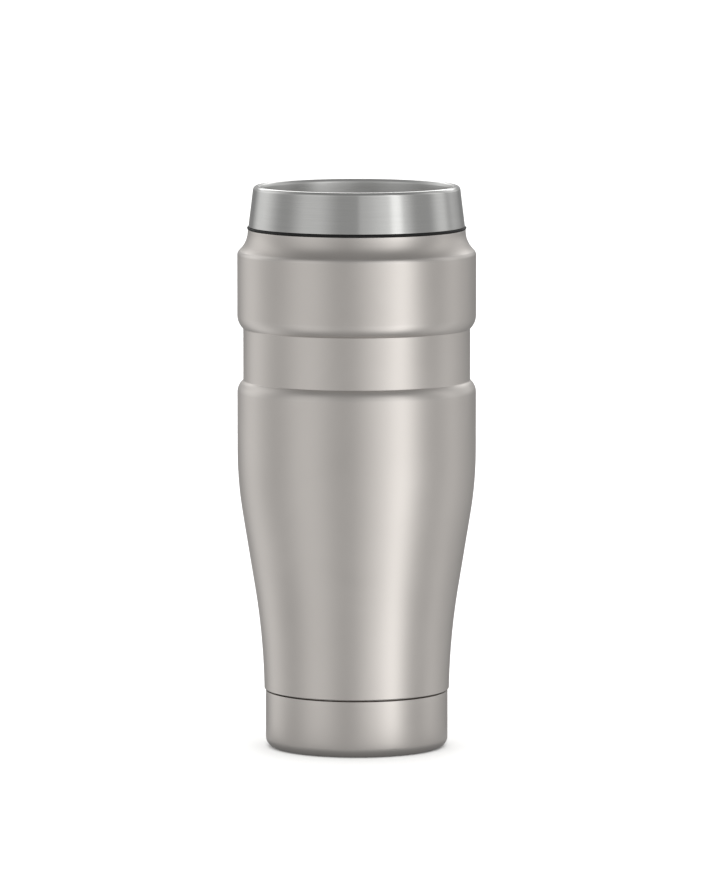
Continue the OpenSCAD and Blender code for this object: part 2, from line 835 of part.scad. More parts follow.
// Washer that the spring pushes down on
module spring_washer() {
    color(inner_steel)
        translate([0, 0, spindle_z - washer_t])
            difference() {
                cylinder(d = washer_d, h = washer_t);
                translate([0, 0, -cut])
                    cylinder(d = screw_d + 4 * seat_gap, h = washer_t + 2 * cut);
            }
}

// Pan-head screw that holds the washer to the spindle
module retainer_screw() {
    head_z = spindle_z - washer_t - screw_head_h;
    recess_l = screw_head_d * recess_share;
    recess_w = recess_l / 4;
    color(inner_steel)
        difference() {
            union() {
                translate([0, 0, head_z]) {
                    cylinder(d = screw_head_d, h = screw_head_h);
                    cylinder(d = screw_d, h = screw_head_h + washer_t + screw_l - screw_tip_gap);
                }
            }
            for (turn = [0, 90])
                rotate([0, 0, turn])
                    translate([0, 0, head_z])
                        cube([recess_l, recess_w, screw_head_h], center = true);
        }
}

outer_shell();
base_cup();
base_cover();
inner_vessel();
inner_bottom();
heat_shield();
getter();
vacuum_seal();
neck_seal();
lid_cover();
lid_body();
plug_cap();
plug_seal();
port_gasket();
vent_gasket();
drink_dial();
spindle_o_ring();
dial_spring();
spring_washer();
retainer_screw();
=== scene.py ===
import math

import bmesh
import bpy
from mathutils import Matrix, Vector


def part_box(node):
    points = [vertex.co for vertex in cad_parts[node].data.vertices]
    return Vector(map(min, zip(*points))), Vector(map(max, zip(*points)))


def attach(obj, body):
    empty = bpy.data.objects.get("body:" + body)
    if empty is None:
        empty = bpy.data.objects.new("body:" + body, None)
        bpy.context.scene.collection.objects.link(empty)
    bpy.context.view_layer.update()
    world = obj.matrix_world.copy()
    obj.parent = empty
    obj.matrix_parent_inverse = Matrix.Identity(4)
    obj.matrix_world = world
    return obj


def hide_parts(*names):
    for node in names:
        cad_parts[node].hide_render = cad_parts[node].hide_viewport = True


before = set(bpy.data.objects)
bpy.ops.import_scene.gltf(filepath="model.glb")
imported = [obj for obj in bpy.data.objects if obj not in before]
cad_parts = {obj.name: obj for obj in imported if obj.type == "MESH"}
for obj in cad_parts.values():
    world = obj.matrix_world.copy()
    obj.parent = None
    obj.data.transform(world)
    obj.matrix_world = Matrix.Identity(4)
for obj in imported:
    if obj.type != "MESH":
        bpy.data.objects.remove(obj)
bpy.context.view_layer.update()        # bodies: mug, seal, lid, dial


# ---- Outer shell ---------------------------------------------------------------------------------
# The wall that a hand holds: a tube of 18/8 stainless sheet, spun to its shoulder, bands, groove and
# long taper. Its foot is turned in over the base cup's neck. It is bead blasted, then electropolished.

mm = 0.001
arc_turn = 5
arc_step = 1.5
rim_r = 2
sharp_angle = 32


def reach(node):
    """Largest radius, lowest height and greatest height of a CAD node, in millimetres."""
    low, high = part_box(node)
    return high[0] / mm, low[2] / mm, high[2] / mm


def arc(r, z, size, start, end):
    """Points of an arc in the plane of radius and height, from one angle in degrees to another."""
    swing = abs(end - start)
    steps = max(2, math.ceil(swing / arc_turn), math.ceil(math.radians(swing) * abs(size) / arc_step))
    turns = [math.radians(start + (end - start) * i / steps) for i in range(steps + 1)]
    return [(r + size * math.cos(a), z + size * math.sin(a)) for a in turns]


def taper(r1, z1, r2, z2, crown, sweep, w, stop):
    """An arc, a cone and a second arc from r1 at z1 down to r2 at z2, upright at both ends, cut at stop."""
    both = crown + sweep - r1 + r2
    drop = z1 - z2
    slope = math.atan2(drop, both) - math.acos((crown + sweep) / math.hypot(both, drop))
    last = math.asin((stop - z2) / sweep)
    upper = arc(r1 - crown, z1, crown - w, 0, -math.degrees(slope))
    return upper + arc(r2 + sweep, z2, sweep + w, 180 - math.degrees(slope), 180 - math.degrees(last))


def fine(points, longest):
    """The same outline with long stretches split, so that shading stays true next to an arc."""
    split = [points[0]]
    for (r0, z0), (r1, z1) in zip(points, points[1:]):
        count = max(1, math.ceil(math.hypot(r1 - r0, z1 - z0) / longest))
        split += [(r0 + (r1 - r0) * i / count, z0 + (z1 - z0) * i / count) for i in range(1, count + 1)]
    return split


def rims(points):
    """How sharply an outline turns outwards at each point, from 0 to 1 at a 2 mm radius or less."""
    area = sum(a[0] * b[1] - b[0] * a[1] for a, b in zip(points, points[1:] + points[:1]))
    values = []
    for i, here in enumerate(points):
        before = Vector(here) - Vector(points[i - 1])
        after = Vector(points[(i + 1) % len(points)]) - Vector(here)
        if before.length < 1e-6 or after.length < 1e-6:
            values.append(0.0)
            continue
        turn = math.atan2(before.x * after.y - before.y * after.x, before.dot(after))
        bend = math.copysign(turn, turn * area) * 2 / (before.length + after.length)
        values.append(min(1.0, max(0.0, bend * rim_r)))
    return values


def finish_mesh(name, bm):
    """An object from a bmesh, with its faces outwards and smooth, and with edges kept above an angle."""
    bmesh.ops.recalc_face_normals(bm, faces=bm.faces)
    mesh = bpy.data.meshes.new(name)
    bm.to_mesh(mesh)
    bm.free()
    mesh.shade_smooth()
    mesh.set_sharp_from_angle(angle=math.radians(sharp_angle))
    piece = bpy.data.objects.new(name, mesh)
    bpy.context.scene.collection.objects.link(piece)
    return piece


def lathe(name, outline, turns=192, ridge=None, place=(0, 0)):
    """Turns a closed outline of radii and heights round the axis; ridge gives each point's rise in radius."""
    bm = bmesh.new()
    rim = bm.verts.layers.float.new("rim")
    rings = []
    for (r, z), bend in zip(outline, rims(outline)):
        ring = []
        for j in range(turns):
            a = math.tau * j / turns
            if r < 1e-6 and ring:
                ring.append(ring[0])
                continue
            out = r + (ridge(math.degrees(a), r, z) if ridge else 0)
            point = (place[0] + out * math.cos(a), place[1] + out * math.sin(a), z)
            ring.append(bm.verts.new([p * mm for p in point]))
            ring[-1][rim] = bend
        rings.append(ring)
    for ring, other in zip(rings, rings[1:] + rings[:1]):
        for j in range(turns):
            corners = [ring[j - 1], ring[j], other[j], other[j - 1]]
            corners = [c for k, c in enumerate(corners) if c is not corners[k - 1]]
            if len(corners) > 2:
                bm.faces.new(corners)
    return finish_mesh(name, bm)


body_r, base_h, mouth_z = reach("outer_shell")
shell_wall = 0.6
neck_gap = 1.25
seat_gap = 0.05
neck_step = 3.65
neck_r = body_r - neck_step
neck_roll = 0.3
neck_band = 0.6
cove_z = mouth_z - neck_band
shoulder_h = 8.3
shoulder_corner = 2.3
upper_band_h = 21
upper_edge = 6.2
grip_depth = 2.05
grip_h = 18
lower_edge = 5.3
lower_band_h = 20
crease = 0.45
taper_crown = 139
taper_sweep = 247
taper_run_out = 4
wide_turns = 256
seam_roll = 0.7
seam_turn = 40
seam_step = 0.5
seam_z = base_h + seam_roll
base_r = reach("base_cup")[0]
foot_r = base_r + seam_step - (seam_z - base_h + taper_run_out) ** 2 / (2 * taper_sweep)
grip_r = body_r - grip_depth
upper_edge_z = cove_z - shoulder_h - upper_band_h
grip_top_z = upper_edge_z - math.sqrt(upper_edge ** 2 - (upper_edge - grip_depth) ** 2)
lower_edge_z = grip_top_z - grip_h - math.sqrt(lower_edge ** 2 - (lower_edge - grip_depth) ** 2)
taper_z = lower_edge_z - lower_band_h


def shoulder(w):
    """The concave cove under the neck and the convex corner that ends it."""
    both = (neck_step ** 2 + shoulder_h ** 2) / (2 * neck_step)
    turn = math.degrees(2 * math.atan2(neck_step, shoulder_h))
    cove = both - shoulder_corner
    upper = arc(neck_r + cove, cove_z, cove + w, 180, 180 + turn)
    return upper + arc(body_r - shoulder_corner, cove_z - shoulder_h, shoulder_corner - w, turn, 0)


def band_edge(z, edge, way, w):
    """A band's rounded edge and the small crease where it meets the groove; way is -1 below the band."""
    across = edge + crease - grip_depth
    swing = math.degrees(math.acos(across / (edge + crease)))
    crease_z = z + way * math.sqrt((edge + crease) ** 2 - across ** 2)
    rounded_edge = arc(body_r - edge, z, edge - w, 0, way * swing)
    return rounded_edge + arc(grip_r + crease, crease_z, crease + w, 180 + way * swing, 180)


def shell_line(w):
    """The shell's face from the mouth down to its turned-in foot, w into the sheet."""
    fall = taper(body_r, taper_z, foot_r, base_h - taper_run_out, taper_crown, taper_sweep, w, seam_z)
    edge_r = fall[-1][0] + w
    line = [(neck_r - shell_wall - neck_gap + seat_gap, mouth_z - w)]
    line += arc(neck_r - neck_roll, mouth_z - neck_roll, neck_roll - w, 90, 0) if neck_roll > w else []
    line += shoulder(w)
    line += band_edge(upper_edge_z, upper_edge, -1, w)
    line += band_edge(lower_edge_z, lower_edge, 1, w)[::-1]
    line += fall
    return line + arc(edge_r - seam_roll, seam_z, seam_roll - w, 0, -seam_turn)


shell = lathe("rolled_shell", fine(shell_line(0) + shell_line(shell_wall)[::-1], 2.5), wide_turns)


def linear(colour):
    """An sRGB hex colour as linear red, green, blue and alpha."""
    parts = [int(colour[i:i + 2], 16) / 255 for i in (1, 3, 5)]
    return [p / 12.92 if p <= 0.04045 else ((p + 0.055) / 1.055) ** 2.4 for p in parts] + [1]


def add(tree, kind, inputs=None, **settings):
    """Adds a node with its settings, and fills its inputs with values, sockets or other nodes' results."""
    node = tree.nodes.new("ShaderNode" + kind)
    for name, value in settings.items():
        setattr(node, name, value)
    for name, value in (inputs or {}).items():
        if isinstance(value, bpy.types.Node):
            value = next(socket for socket in value.outputs if socket.enabled)
        if isinstance(value, bpy.types.NodeSocket):
            tree.links.new(value, node.inputs[name])
        else:
            node.inputs[name].default_value = value
    return node


def new_material(name):
    """A material and its empty node tree."""
    material = bpy.data.materials.new(name)
    material.use_nodes = True
    material.node_tree.nodes.clear()
    return material, material.node_tree


# Bead-blasted 304 stainless, electropolished: a soft, even gloss that blurs reflections without
# lines. Nickel and chromium leave it a slightly warm grey. Hands polish its raised edges first.
satin_steel, tree = new_material("bead_blasted_304_stainless")
where = add(tree, "TexCoord").outputs["Object"]
# bead marks are about 0.08 mm wide, too fine to show, so they are drawn 0.45 mm wide
blast = add(tree, "TexNoise", {"Vector": where, "Scale": 1 / (0.45 * mm), "Detail": 3})
cloud = add(tree, "TexNoise", {"Vector": where, "Scale": 1 / (38 * mm), "Detail": 4, "Distortion": 0.6})
spun = add(tree, "Mapping", {"Vector": where, "Scale": (1, 1, 60)})
# the spinning rollers leave faint rings about 0.7 mm apart
rings = add(tree, "TexNoise", {"Vector": spun, "Scale": 1 / (42 * mm), "Detail": 3})
hair = add(tree, "Mapping", {"Vector": where, "Rotation": (0.5, 0.9, 0.3), "Scale": (1, 1, 34)})
hairs = add(tree, "TexNoise", {"Vector": hair, "Scale": 1 / (9 * mm), "Detail": 2})
hairline = add(tree, "MapRange", {0: hairs, 1: 0.71, 2: 0.78})
rim = add(tree, "Attribute", attribute_name="rim").outputs["Fac"]
worn = add(tree, "Math", {0: rim, 1: cloud}, operation="MULTIPLY")
tone = add(tree, "MapRange", {0: cloud, 1: 0.3, 2: 0.7})
steel_mix = add(tree, "Mix", {0: tone, 6: linear("#D2CDC8"), 7: linear("#D9D4CF")}, data_type="RGBA")
steel_mix = add(tree, "Mix", {0: worn, 6: steel_mix, 7: linear("#E2DEDA")}, data_type="RGBA")
gloss = add(tree, "MapRange", {0: cloud, 1: 0.3, 2: 0.7, 3: 0.35, 4: 0.39})
gloss = add(tree, "Math", {0: hairline, 1: 0.05, 2: gloss}, operation="MULTIPLY_ADD")
gloss = add(tree, "Math", {0: worn, 1: -0.10, 2: gloss}, operation="MULTIPLY_ADD")
relief = add(tree, "Bump", {"Height": rings, "Strength": 0.5, "Distance": 0.004 * mm})
relief = add(tree, "Bump", {"Height": blast, "Strength": 0.6, "Distance": 0.008 * mm, "Normal": relief})
shader = add(tree, "BsdfPrincipled", {
    "Base Color": steel_mix, "Metallic": 1, "Roughness": gloss, "Normal": relief,
})
add(tree, "OutputMaterial", {"Surface": shader})

shell.data.materials.append(satin_steel)
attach(shell, "mug")
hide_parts("outer_shell")


# ---- Base cup ------------------------------------------------------------------------------------
# The part that enters a cup holder: a cup pressed from the same sheet and blasted with the shell. Its
# neck is laser welded inside the shell's foot, and its floor has a recess and a sealing dimple.


def rounded(corners):
    """An outline from corners (radius, height, rounding); a corner with no rounding stays sharp."""
    points = []
    for i, (r, z, *size) in enumerate(corners):
        here = Vector((r, z))
        to_last = Vector(corners[i - 1][:2]) - here
        to_next = Vector(corners[(i + 1) % len(corners)][:2]) - here
        if not size or r < 1e-6:
            points.append((r, z))
            continue
        half = to_last.angle(to_next) / 2
        cut = min(size[0] / math.tan(half), 0.48 * to_last.length, 0.48 * to_next.length)
        bend = cut * math.tan(half)
        middle = here + (to_last.normalized() + to_next.normalized()).normalized() * bend / math.sin(half)
        first = here + to_last.normalized() * cut - middle
        last = here + to_next.normalized() * cut - middle
        steps = max(3, math.ceil(math.degrees(first.angle(last)) / 12))
        swing = first.angle_signed(last)
        for k in range(steps + 1):
            a = -swing * k / steps
            x = first.x * math.cos(a) - first.y * math.sin(a)
            y = first.x * math.sin(a) + first.y * math.cos(a)
            points.append((middle.x + x, middle.y + y))
    return points


base_wall = 0.7
base_corner = 4.6
foot_w = 2
base_recess = 1.4
seam_gap = 0.35
seam_depth = 2
seam_rise = 0.1
seam_slope = 0.4
dimple_r = 5
dimple_h = 1.6
evac_r = 1
cup_top = reach("base_cup")[2]
cup_neck_r = base_r + seam_step - seam_roll - seat_gap
shoulder_z = base_h - seam_gap
foot_in_r = base_r - base_corner - foot_w


def base_line(w):
    """Corners of the base cup's face from its hidden neck to the evacuation hole, w into the sheet."""
    return [
        (cup_neck_r - w, cup_top),
        (cup_neck_r - w, seam_z - w + seam_rise),
        (cup_neck_r - seam_depth - w, seam_z - w - seam_slope),
        (cup_neck_r - seam_depth - w, shoulder_z - w, 0.1),
        (base_r - w, shoulder_z - w, 0.15),
        (base_r - w, w, base_corner - w),
        (foot_in_r, w, 0.5),
        (foot_in_r - base_recess / 2, base_recess + w, 0.5),
        (dimple_r, base_recess + w, 0.4),
        (dimple_r - dimple_h / 2, base_recess + dimple_h + w, 0.4),
        (evac_r, base_recess + dimple_h + w),
    ]


cup = lathe("pressed_base_cup", fine(rounded(base_line(0) + base_line(base_wall)[::-1]), 2), wide_turns)
cup.data.materials.append(satin_steel)
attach(cup, "mug")
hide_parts("base_cup")


# ---- Getter --------------------------------------------------------------------------------------
# A pellet of zirconium alloy powder, pressed and sintered, and welded to the base cup's inside. It
# soaks up the gas that the steel gives off, so that the vacuum lasts.

getter_low, getter_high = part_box("getter")
getter_r = (getter_high[0] - getter_low[0]) / 2 / mm
getter_x = (getter_high[0] + getter_low[0]) / 2 / mm
getter_z = (getter_low[2] / mm, getter_high[2] / mm)
pellet_edge = 0.3
small_turns = 64
getter_outline = rounded([
    (0, getter_z[0]), (getter_r, getter_z[0], pellet_edge),
    (getter_r, getter_z[1], pellet_edge), (0, getter_z[1]),
])
pellet = lathe("getter_pellet", fine(getter_outline, 0.8), small_turns, place=(getter_x, 0))

# Sintered zirconium-vanadium powder: dull, dark and grainy, with open pores between the grains.
getter_alloy, tree = new_material("sintered_zirconium_alloy")
where = add(tree, "TexCoord").outputs["Object"]
# powder grains are about 0.1 mm across and are drawn 0.25 mm
grains = add(tree, "TexVoronoi", {"Vector": where, "Scale": 1 / (0.25 * mm)})
pores = add(tree, "TexNoise", {"Vector": where, "Scale": 1 / (0.6 * mm), "Detail": 5})
powder = add(tree, "Mix", {0: pores, 6: linear("#4E4B48"), 7: linear("#77726C")}, data_type="RGBA")
gloss = add(tree, "MapRange", {0: grains, 1: 0, 2: 0.6, 3: 0.55, 4: 0.8})
relief = add(tree, "Bump", {"Height": grains, "Strength": 0.8, "Distance": 0.06 * mm})
shader = add(tree, "BsdfPrincipled", {
    "Base Color": powder, "Metallic": 0.7, "Roughness": gloss, "Normal": relief,
})
add(tree, "OutputMaterial", {"Surface": shader})

pellet.data.materials.append(getter_alloy)
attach(pellet, "mug")
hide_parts("getter")


# ---- Vacuum seal ---------------------------------------------------------------------------------
# A bead of solder glass. It melts over the evacuation hole in the vacuum furnace and closes it, so
# its lower face is a smooth dome and a plug of glass fills the hole.

bead_r, bead_low, bead_high = reach("vacuum_seal")
bead_rest = base_recess + dimple_h - seat_gap
dome = [(bead_r * r, bead_rest - (bead_rest - bead_low) * -z) for r, z in arc(0, 0, 1, -90, 0)]
bead_plug_r = evac_r - seat_gap
bead_outline = dome + [(bead_plug_r, bead_rest), (bead_plug_r, bead_high), (0, bead_high)]
bead = lathe("glass_bead", bead_outline, small_turns)

# Lead-free solder glass: dark and glossy, with faint flow marks from the melt.
solder_glass, tree = new_material("fired_solder_glass")
where = add(tree, "TexCoord").outputs["Object"]
flow = add(tree, "TexNoise", {"Vector": where, "Scale": 1 / (1.6 * mm), "Detail": 4, "Distortion": 1.5})
melt = add(tree, "Mix", {0: flow, 6: linear("#2B2F29"), 7: linear("#454A41")}, data_type="RGBA")
gloss = add(tree, "MapRange", {0: flow, 1: 0.3, 2: 0.7, 3: 0.08, 4: 0.2})
relief = add(tree, "Bump", {"Height": flow, "Strength": 0.3, "Distance": 0.05 * mm})
shader = add(tree, "BsdfPrincipled", {"Base Color": melt, "IOR": 1.6, "Roughness": gloss, "Normal": relief})
add(tree, "OutputMaterial", {"Surface": shader})

bead.data.materials.append(solder_glass)
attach(bead, "mug")
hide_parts("vacuum_seal")


# ---- Base cover ----------------------------------------------------------------------------------
# A disc blanked from stainless strip and glued into the recess, over the sealed evacuation hole. Its
# edge is rolled by the blanking punch, and its face is brushed on a turntable.

disc_r, disc_low, disc_high = reach("base_cover")
disc_outline = rounded([(0, disc_low), (disc_r, disc_low, 0.22), (disc_r, disc_high, 0.08), (0, disc_high)])
disc = lathe("cover_disc", fine(disc_outline, 1.5))

# 304 stainless brushed on a turntable: fine rings round the centre that fan the light into two
# bright wedges.
turned_steel, tree = new_material("ring_brushed_304_stainless")
where = add(tree, "TexCoord").outputs["Object"]
flat = add(tree, "VectorMath", {0: where, 1: (1, 1, 0)}, operation="MULTIPLY")
radius = add(tree, "VectorMath", {0: flat}, operation="LENGTH")
# brush lines are about 0.05 mm apart and are drawn 0.3 mm apart
grooves = add(tree, "TexNoise", {"W": radius, "Scale": 1 / (0.3 * mm), "Detail": 4}, noise_dimensions="1D")
handled = add(tree, "TexNoise", {"Vector": where, "Scale": 1 / (11 * mm), "Detail": 3})
brushed = add(tree, "Mix", {0: grooves, 6: linear("#B9B6B2"), 7: linear("#D2CFCB")}, data_type="RGBA")
gloss = add(tree, "MapRange", {0: handled, 1: 0.3, 2: 0.7, 3: 0.24, 4: 0.34})
relief = add(tree, "Bump", {"Height": grooves, "Strength": 0.5, "Distance": 0.02 * mm})
shader = add(tree, "BsdfPrincipled", {
    "Base Color": brushed, "Metallic": 1, "Roughness": gloss, "Normal": relief,
})
add(tree, "OutputMaterial", {"Surface": shader})

disc.data.materials.append(turned_steel)
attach(disc, "mug")
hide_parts("base_cover")


# ---- Inner vessel --------------------------------------------------------------------------------
# The wall that holds the drink: a tube drawn from stainless sheet, with a conical ledge that the plug
# seals on and two thread ridges rolled into its neck. It meets the shell only at the mouth.

vessel_wall = 0.5
neck_in_r = reach("inner_vessel")[0] - vessel_wall
weld_z = reach("inner_vessel")[1]
ledge_w = 2.5
ledge_h = 5
ledge_depth = 14
ledge_top_z = mouth_z - ledge_depth
ledge_low_z = ledge_top_z - ledge_h
vessel_r = neck_in_r - ledge_w
vessel_low_r = reach("inner_bottom")[0] - vessel_wall
vessel_taper_h = 42
vessel_taper_z = weld_z + vessel_taper_h
vessel_crown = 90
vessel_sweep = 110
thread_lead = 12
thread_depth = 1.4
thread_root_w = 2.4
thread_crest_w = 1
thread_fade = 25
neck_thread_rise = 2
neck_thread_z = ledge_top_z + neck_thread_rise
neck_thread_turn = 220


def thread_rise(angle, z, start_z, turn):
    """Share of the thread's depth at an angle and height: two starts, each fading in and out."""
    best = 0
    for start in (0, 180):
        for lap in (0, 360):
            along = angle - start + lap
            if not 0 < along < turn:
                continue
            away = abs(z - start_z - thread_lead * along / 360)
            side = (thread_root_w / 2 - away) / ((thread_root_w - thread_crest_w) / 2)
            side = min(1, max(0, side))
            fade = min(1, along / thread_fade, (turn - along) / thread_fade)
            best = max(best, side * side * (3 - 2 * side) * math.sin(fade * math.pi / 2))
    return best


def neck_ridge(angle, r, z):
    """The neck's rolled threads: both faces of the sheet move inwards together."""
    if z < ledge_top_z:
        return 0
    return -thread_depth * thread_rise(angle, z, neck_thread_z, neck_thread_turn)


neck_rows = 40
mouth_edge = 0.15
ledge_bend = 1


def vessel_line(w):
    """Corners of the vessel's inner face from the mouth to the weld, w into the sheet."""
    rows = [mouth_z - 0.4 + (ledge_top_z - mouth_z + 1) * i / neck_rows for i in range(neck_rows + 1)]
    line = [(neck_in_r + w, mouth_z, mouth_edge)] + [(neck_in_r + w, z) for z in rows]
    line += [(neck_in_r + w, ledge_top_z, ledge_bend), (vessel_r + w, ledge_low_z, ledge_bend)]
    fall = taper(vessel_r, vessel_taper_z, vessel_low_r, weld_z, vessel_crown, vessel_sweep, -w, weld_z)
    return line + fall


vessel_outline = fine(rounded(vessel_line(0) + vessel_line(vessel_wall)[::-1]), 3)
vessel = lathe("vessel_wall", vessel_outline, ridge=neck_ridge)

# Deep-drawn 304 stainless, electropolished: bright and slightly wavy, with faint upright marks from
# the drawing die.
drawn_steel, tree = new_material("electropolished_304_stainless")
where = add(tree, "TexCoord").outputs["Object"]
# drawing marks are about 0.1 mm apart and are drawn 0.4 mm apart
upright = add(tree, "Mapping", {"Vector": where, "Scale": (1, 1, 0.02)})
marks = add(tree, "TexNoise", {"Vector": upright, "Scale": 1 / (0.4 * mm), "Detail": 3})
wave = add(tree, "TexNoise", {"Vector": where, "Scale": 1 / (16 * mm), "Detail": 3})
steel_mix = add(tree, "Mix", {0: wave, 6: linear("#C4C3C1"), 7: linear("#D0CFCD")}, data_type="RGBA")
gloss = add(tree, "MapRange", {0: wave, 1: 0.3, 2: 0.7, 3: 0.2, 4: 0.28})
relief = add(tree, "Bump", {"Height": marks, "Strength": 0.3, "Distance": 0.01 * mm})
shader = add(tree, "BsdfPrincipled", {
    "Base Color": steel_mix, "Metallic": 1, "Roughness": gloss, "Normal": relief,
})
add(tree, "OutputMaterial", {"Surface": shader})

vessel.data.materials.append(drawn_steel)
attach(vessel, "mug")
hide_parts("inner_vessel")


# ---- Vessel bottom -------------------------------------------------------------------------------
# A deep-drawn cup with a wide corner, butt welded to the vessel's wall by a laser seam that is then
# ground flush, so that the inside is smooth to clean.

bottom_top_z = reach("inner_bottom")[2]
vessel_corner = 9
vessel_floor = reach("inner_bottom")[1] + vessel_wall
corner_r = vessel_low_r - vessel_corner
corner_z = vessel_floor + vessel_corner
bottom_outline = [(0, vessel_floor)] + arc(corner_r, corner_z, vessel_corner, -90, 0)
bottom_outline += [(vessel_low_r, bottom_top_z), (vessel_low_r + vessel_wall, bottom_top_z)]
bottom_outline += arc(corner_r, corner_z, vessel_corner + vessel_wall, 0, -90)
bottom_outline += [(0, vessel_floor - vessel_wall)]
bottom = lathe("vessel_bottom", fine(bottom_outline, 2))
bottom.data.materials.append(drawn_steel)
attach(bottom, "mug")
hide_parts("inner_bottom")


# ---- Heat shield ---------------------------------------------------------------------------------
# Bright aluminium foil wrapped once round the vessel, inside the vacuum, where it sends radiant heat
# back. It is thin enough to hold the small dents of its wrapping.

foil_r, foil_low, foil_high = reach("heat_shield")
foil_t = 0.15
foil_dent = 0.04


def foil_ridge(angle, r, z):
    """Shallow crossing dents of wrapped foil, the same on both faces."""
    a = math.radians(angle)
    wave = math.sin(7 * a + 0.9 * z) + math.sin(11 * a - 0.53 * z) + math.sin(23 * a + 0.31 * z)
    return foil_dent * (wave / 3 - 1) / 2


foil_in_r = foil_r - foil_t
foil_outline = [(foil_r, foil_low), (foil_r, foil_high), (foil_in_r, foil_high), (foil_in_r, foil_low)]
sleeve = lathe("foil_sleeve", fine(foil_outline, 2), ridge=foil_ridge)

# Rolled aluminium foil: mirror bright along the rolling direction, with faint roll lines.
rolled_foil, tree = new_material("rolled_aluminium_foil")
where = add(tree, "TexCoord").outputs["Object"]
along = add(tree, "Mapping", {"Vector": where, "Scale": (1, 1, 25)})
rolls = add(tree, "TexNoise", {"Vector": along, "Scale": 1 / (12 * mm), "Detail": 4})
creases = add(tree, "TexVoronoi", {"Vector": where, "Scale": 1 / (7 * mm)}, feature="DISTANCE_TO_EDGE")
sheen = add(tree, "Mix", {0: rolls, 6: linear("#D2D4D6"), 7: linear("#E6E7E8")}, data_type="RGBA")
gloss = add(tree, "MapRange", {0: rolls, 1: 0.3, 2: 0.7, 3: 0.14, 4: 0.3})
relief = add(tree, "Bump", {"Height": creases, "Strength": 0.4, "Distance": 0.1 * mm})
shader = add(tree, "BsdfPrincipled", {
    "Base Color": sheen, "Metallic": 1, "Roughness": gloss, "Normal": relief,
})
add(tree, "OutputMaterial", {"Surface": shader})

sleeve.data.materials.append(rolled_foil)
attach(sleeve, "mug")
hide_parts("heat_shield")


# ---- Lid cover -----------------------------------------------------------------------------------
# One stainless sheet, spun up the outside of the lid, over a rolled lip and down the inside, with its
# lower edge crimped in under the lid body. Outside it is polished; inside it keeps its turning lines.

cover_low_r, lid_z, mug_h = reach("lid_cover")
cover_wall = 0.5
cover_draft = 7
inner_draft = 5
cover_edge = 0.15
cover_hem = 0.6
lip_r = 1.5
lip_z = mug_h - lip_r
inner_h = 10
inner_end_z = mug_h - inner_h
crimp_w = 1.1
crimp_r = cover_low_r - crimp_w
lid_inset = 0.33
draft_turn = math.radians(cover_draft)
lip_mid_r = neck_r - lid_inset - lip_r / math.cos(draft_turn) - math.tan(draft_turn) * (lip_z - lid_z)


def cover_out(z, w):
    """Radius of the cover's outer face at a height, w into the sheet."""
    a = math.radians(cover_draft)
    return lip_mid_r + (lip_r - w) / math.cos(a) - math.tan(a) * (z - lip_z)


def cover_in(z, w):
    """Radius of the cover's inner face at a height, w into the sheet."""
    a = math.radians(inner_draft)
    return lip_mid_r - (lip_r - w) / math.cos(a) + math.tan(a) * (z - lip_z)


hem_z = lid_z - cover_hem
hem_r = cover_out(hem_z + cover_edge, cover_edge)
cover_outline = [(crimp_r, lid_z), (hem_r - cover_wall, lid_z), (hem_r - cover_wall / 2, hem_z)]
cover_outline += arc(hem_r, hem_z + cover_edge, cover_edge, -90, cover_draft)
cover_outline += arc(lip_mid_r, lip_z, lip_r, cover_draft, 180 - inner_draft)
cover_outline += [(cover_in(inner_end_z, w), inner_end_z) for w in (0, cover_wall)]
cover_outline += arc(lip_mid_r, lip_z, lip_r - cover_wall, 180 - inner_draft, cover_draft)
crimp_z = lid_z + cover_wall
cover_outline += [(cover_out(crimp_z, cover_wall), crimp_z), (crimp_r, crimp_z)]
cover = lathe("lid_cover_sheet", fine(cover_outline, 1), wide_turns)

# 304 stainless turned against polishing compound: a clear, neutral reflection with fine rings round
# the lid. The rings are deeper inside the lip, where the polishing wheel doesn't reach.
polished_steel, tree = new_material("lathe_polished_304_stainless")
where = add(tree, "TexCoord").outputs["Object"]
flat = add(tree, "VectorMath", {0: where, 1: (1, 1, 0)}, operation="MULTIPLY")
radius = add(tree, "VectorMath", {0: flat}, operation="LENGTH")
inside = add(tree, "MapRange", {0: radius, 1: 34.4 * mm, 2: 33.6 * mm})
around = add(tree, "Mapping", {"Vector": where, "Scale": (1, 1, 55)})
# turning lines are about 0.08 mm apart and are drawn 0.35 mm apart
lines = add(tree, "TexNoise", {"Vector": around, "Scale": 1 / (19 * mm), "Detail": 5})
film = add(tree, "TexNoise", {"Vector": where, "Scale": 1 / (26 * mm), "Detail": 4, "Distortion": 0.8})
hair = add(tree, "Mapping", {"Vector": where, "Rotation": (0.8, 0.2, 0.5), "Scale": (1, 1, 40)})
hairs = add(tree, "TexNoise", {"Vector": hair, "Scale": 1 / (8 * mm), "Detail": 2})
hairline = add(tree, "MapRange", {0: hairs, 1: 0.7, 2: 0.76})
rim = add(tree, "Attribute", attribute_name="rim").outputs["Fac"]
worn = add(tree, "Math", {0: rim, 1: film}, operation="MULTIPLY")
steel_mix = add(tree, "Mix", {0: lines, 6: linear("#C3C3C1"), 7: linear("#CECECC")}, data_type="RGBA")
steel_mix = add(tree, "Mix", {0: worn, 6: steel_mix, 7: linear("#DDDDDB")}, data_type="RGBA")
gloss = add(tree, "MapRange", {0: film, 1: 0.3, 2: 0.7, 3: 0.13, 4: 0.17})
gloss = add(tree, "Math", {0: inside, 1: 0.2, 2: gloss}, operation="MULTIPLY_ADD")
gloss = add(tree, "Math", {0: hairline, 1: 0.06, 2: gloss}, operation="MULTIPLY_ADD")
depth = add(tree, "MapRange", {0: inside, 1: 0, 2: 1, 3: 0.12, 4: 0.6})
relief = add(tree, "Bump", {"Height": lines, "Strength": depth, "Distance": 0.015 * mm})
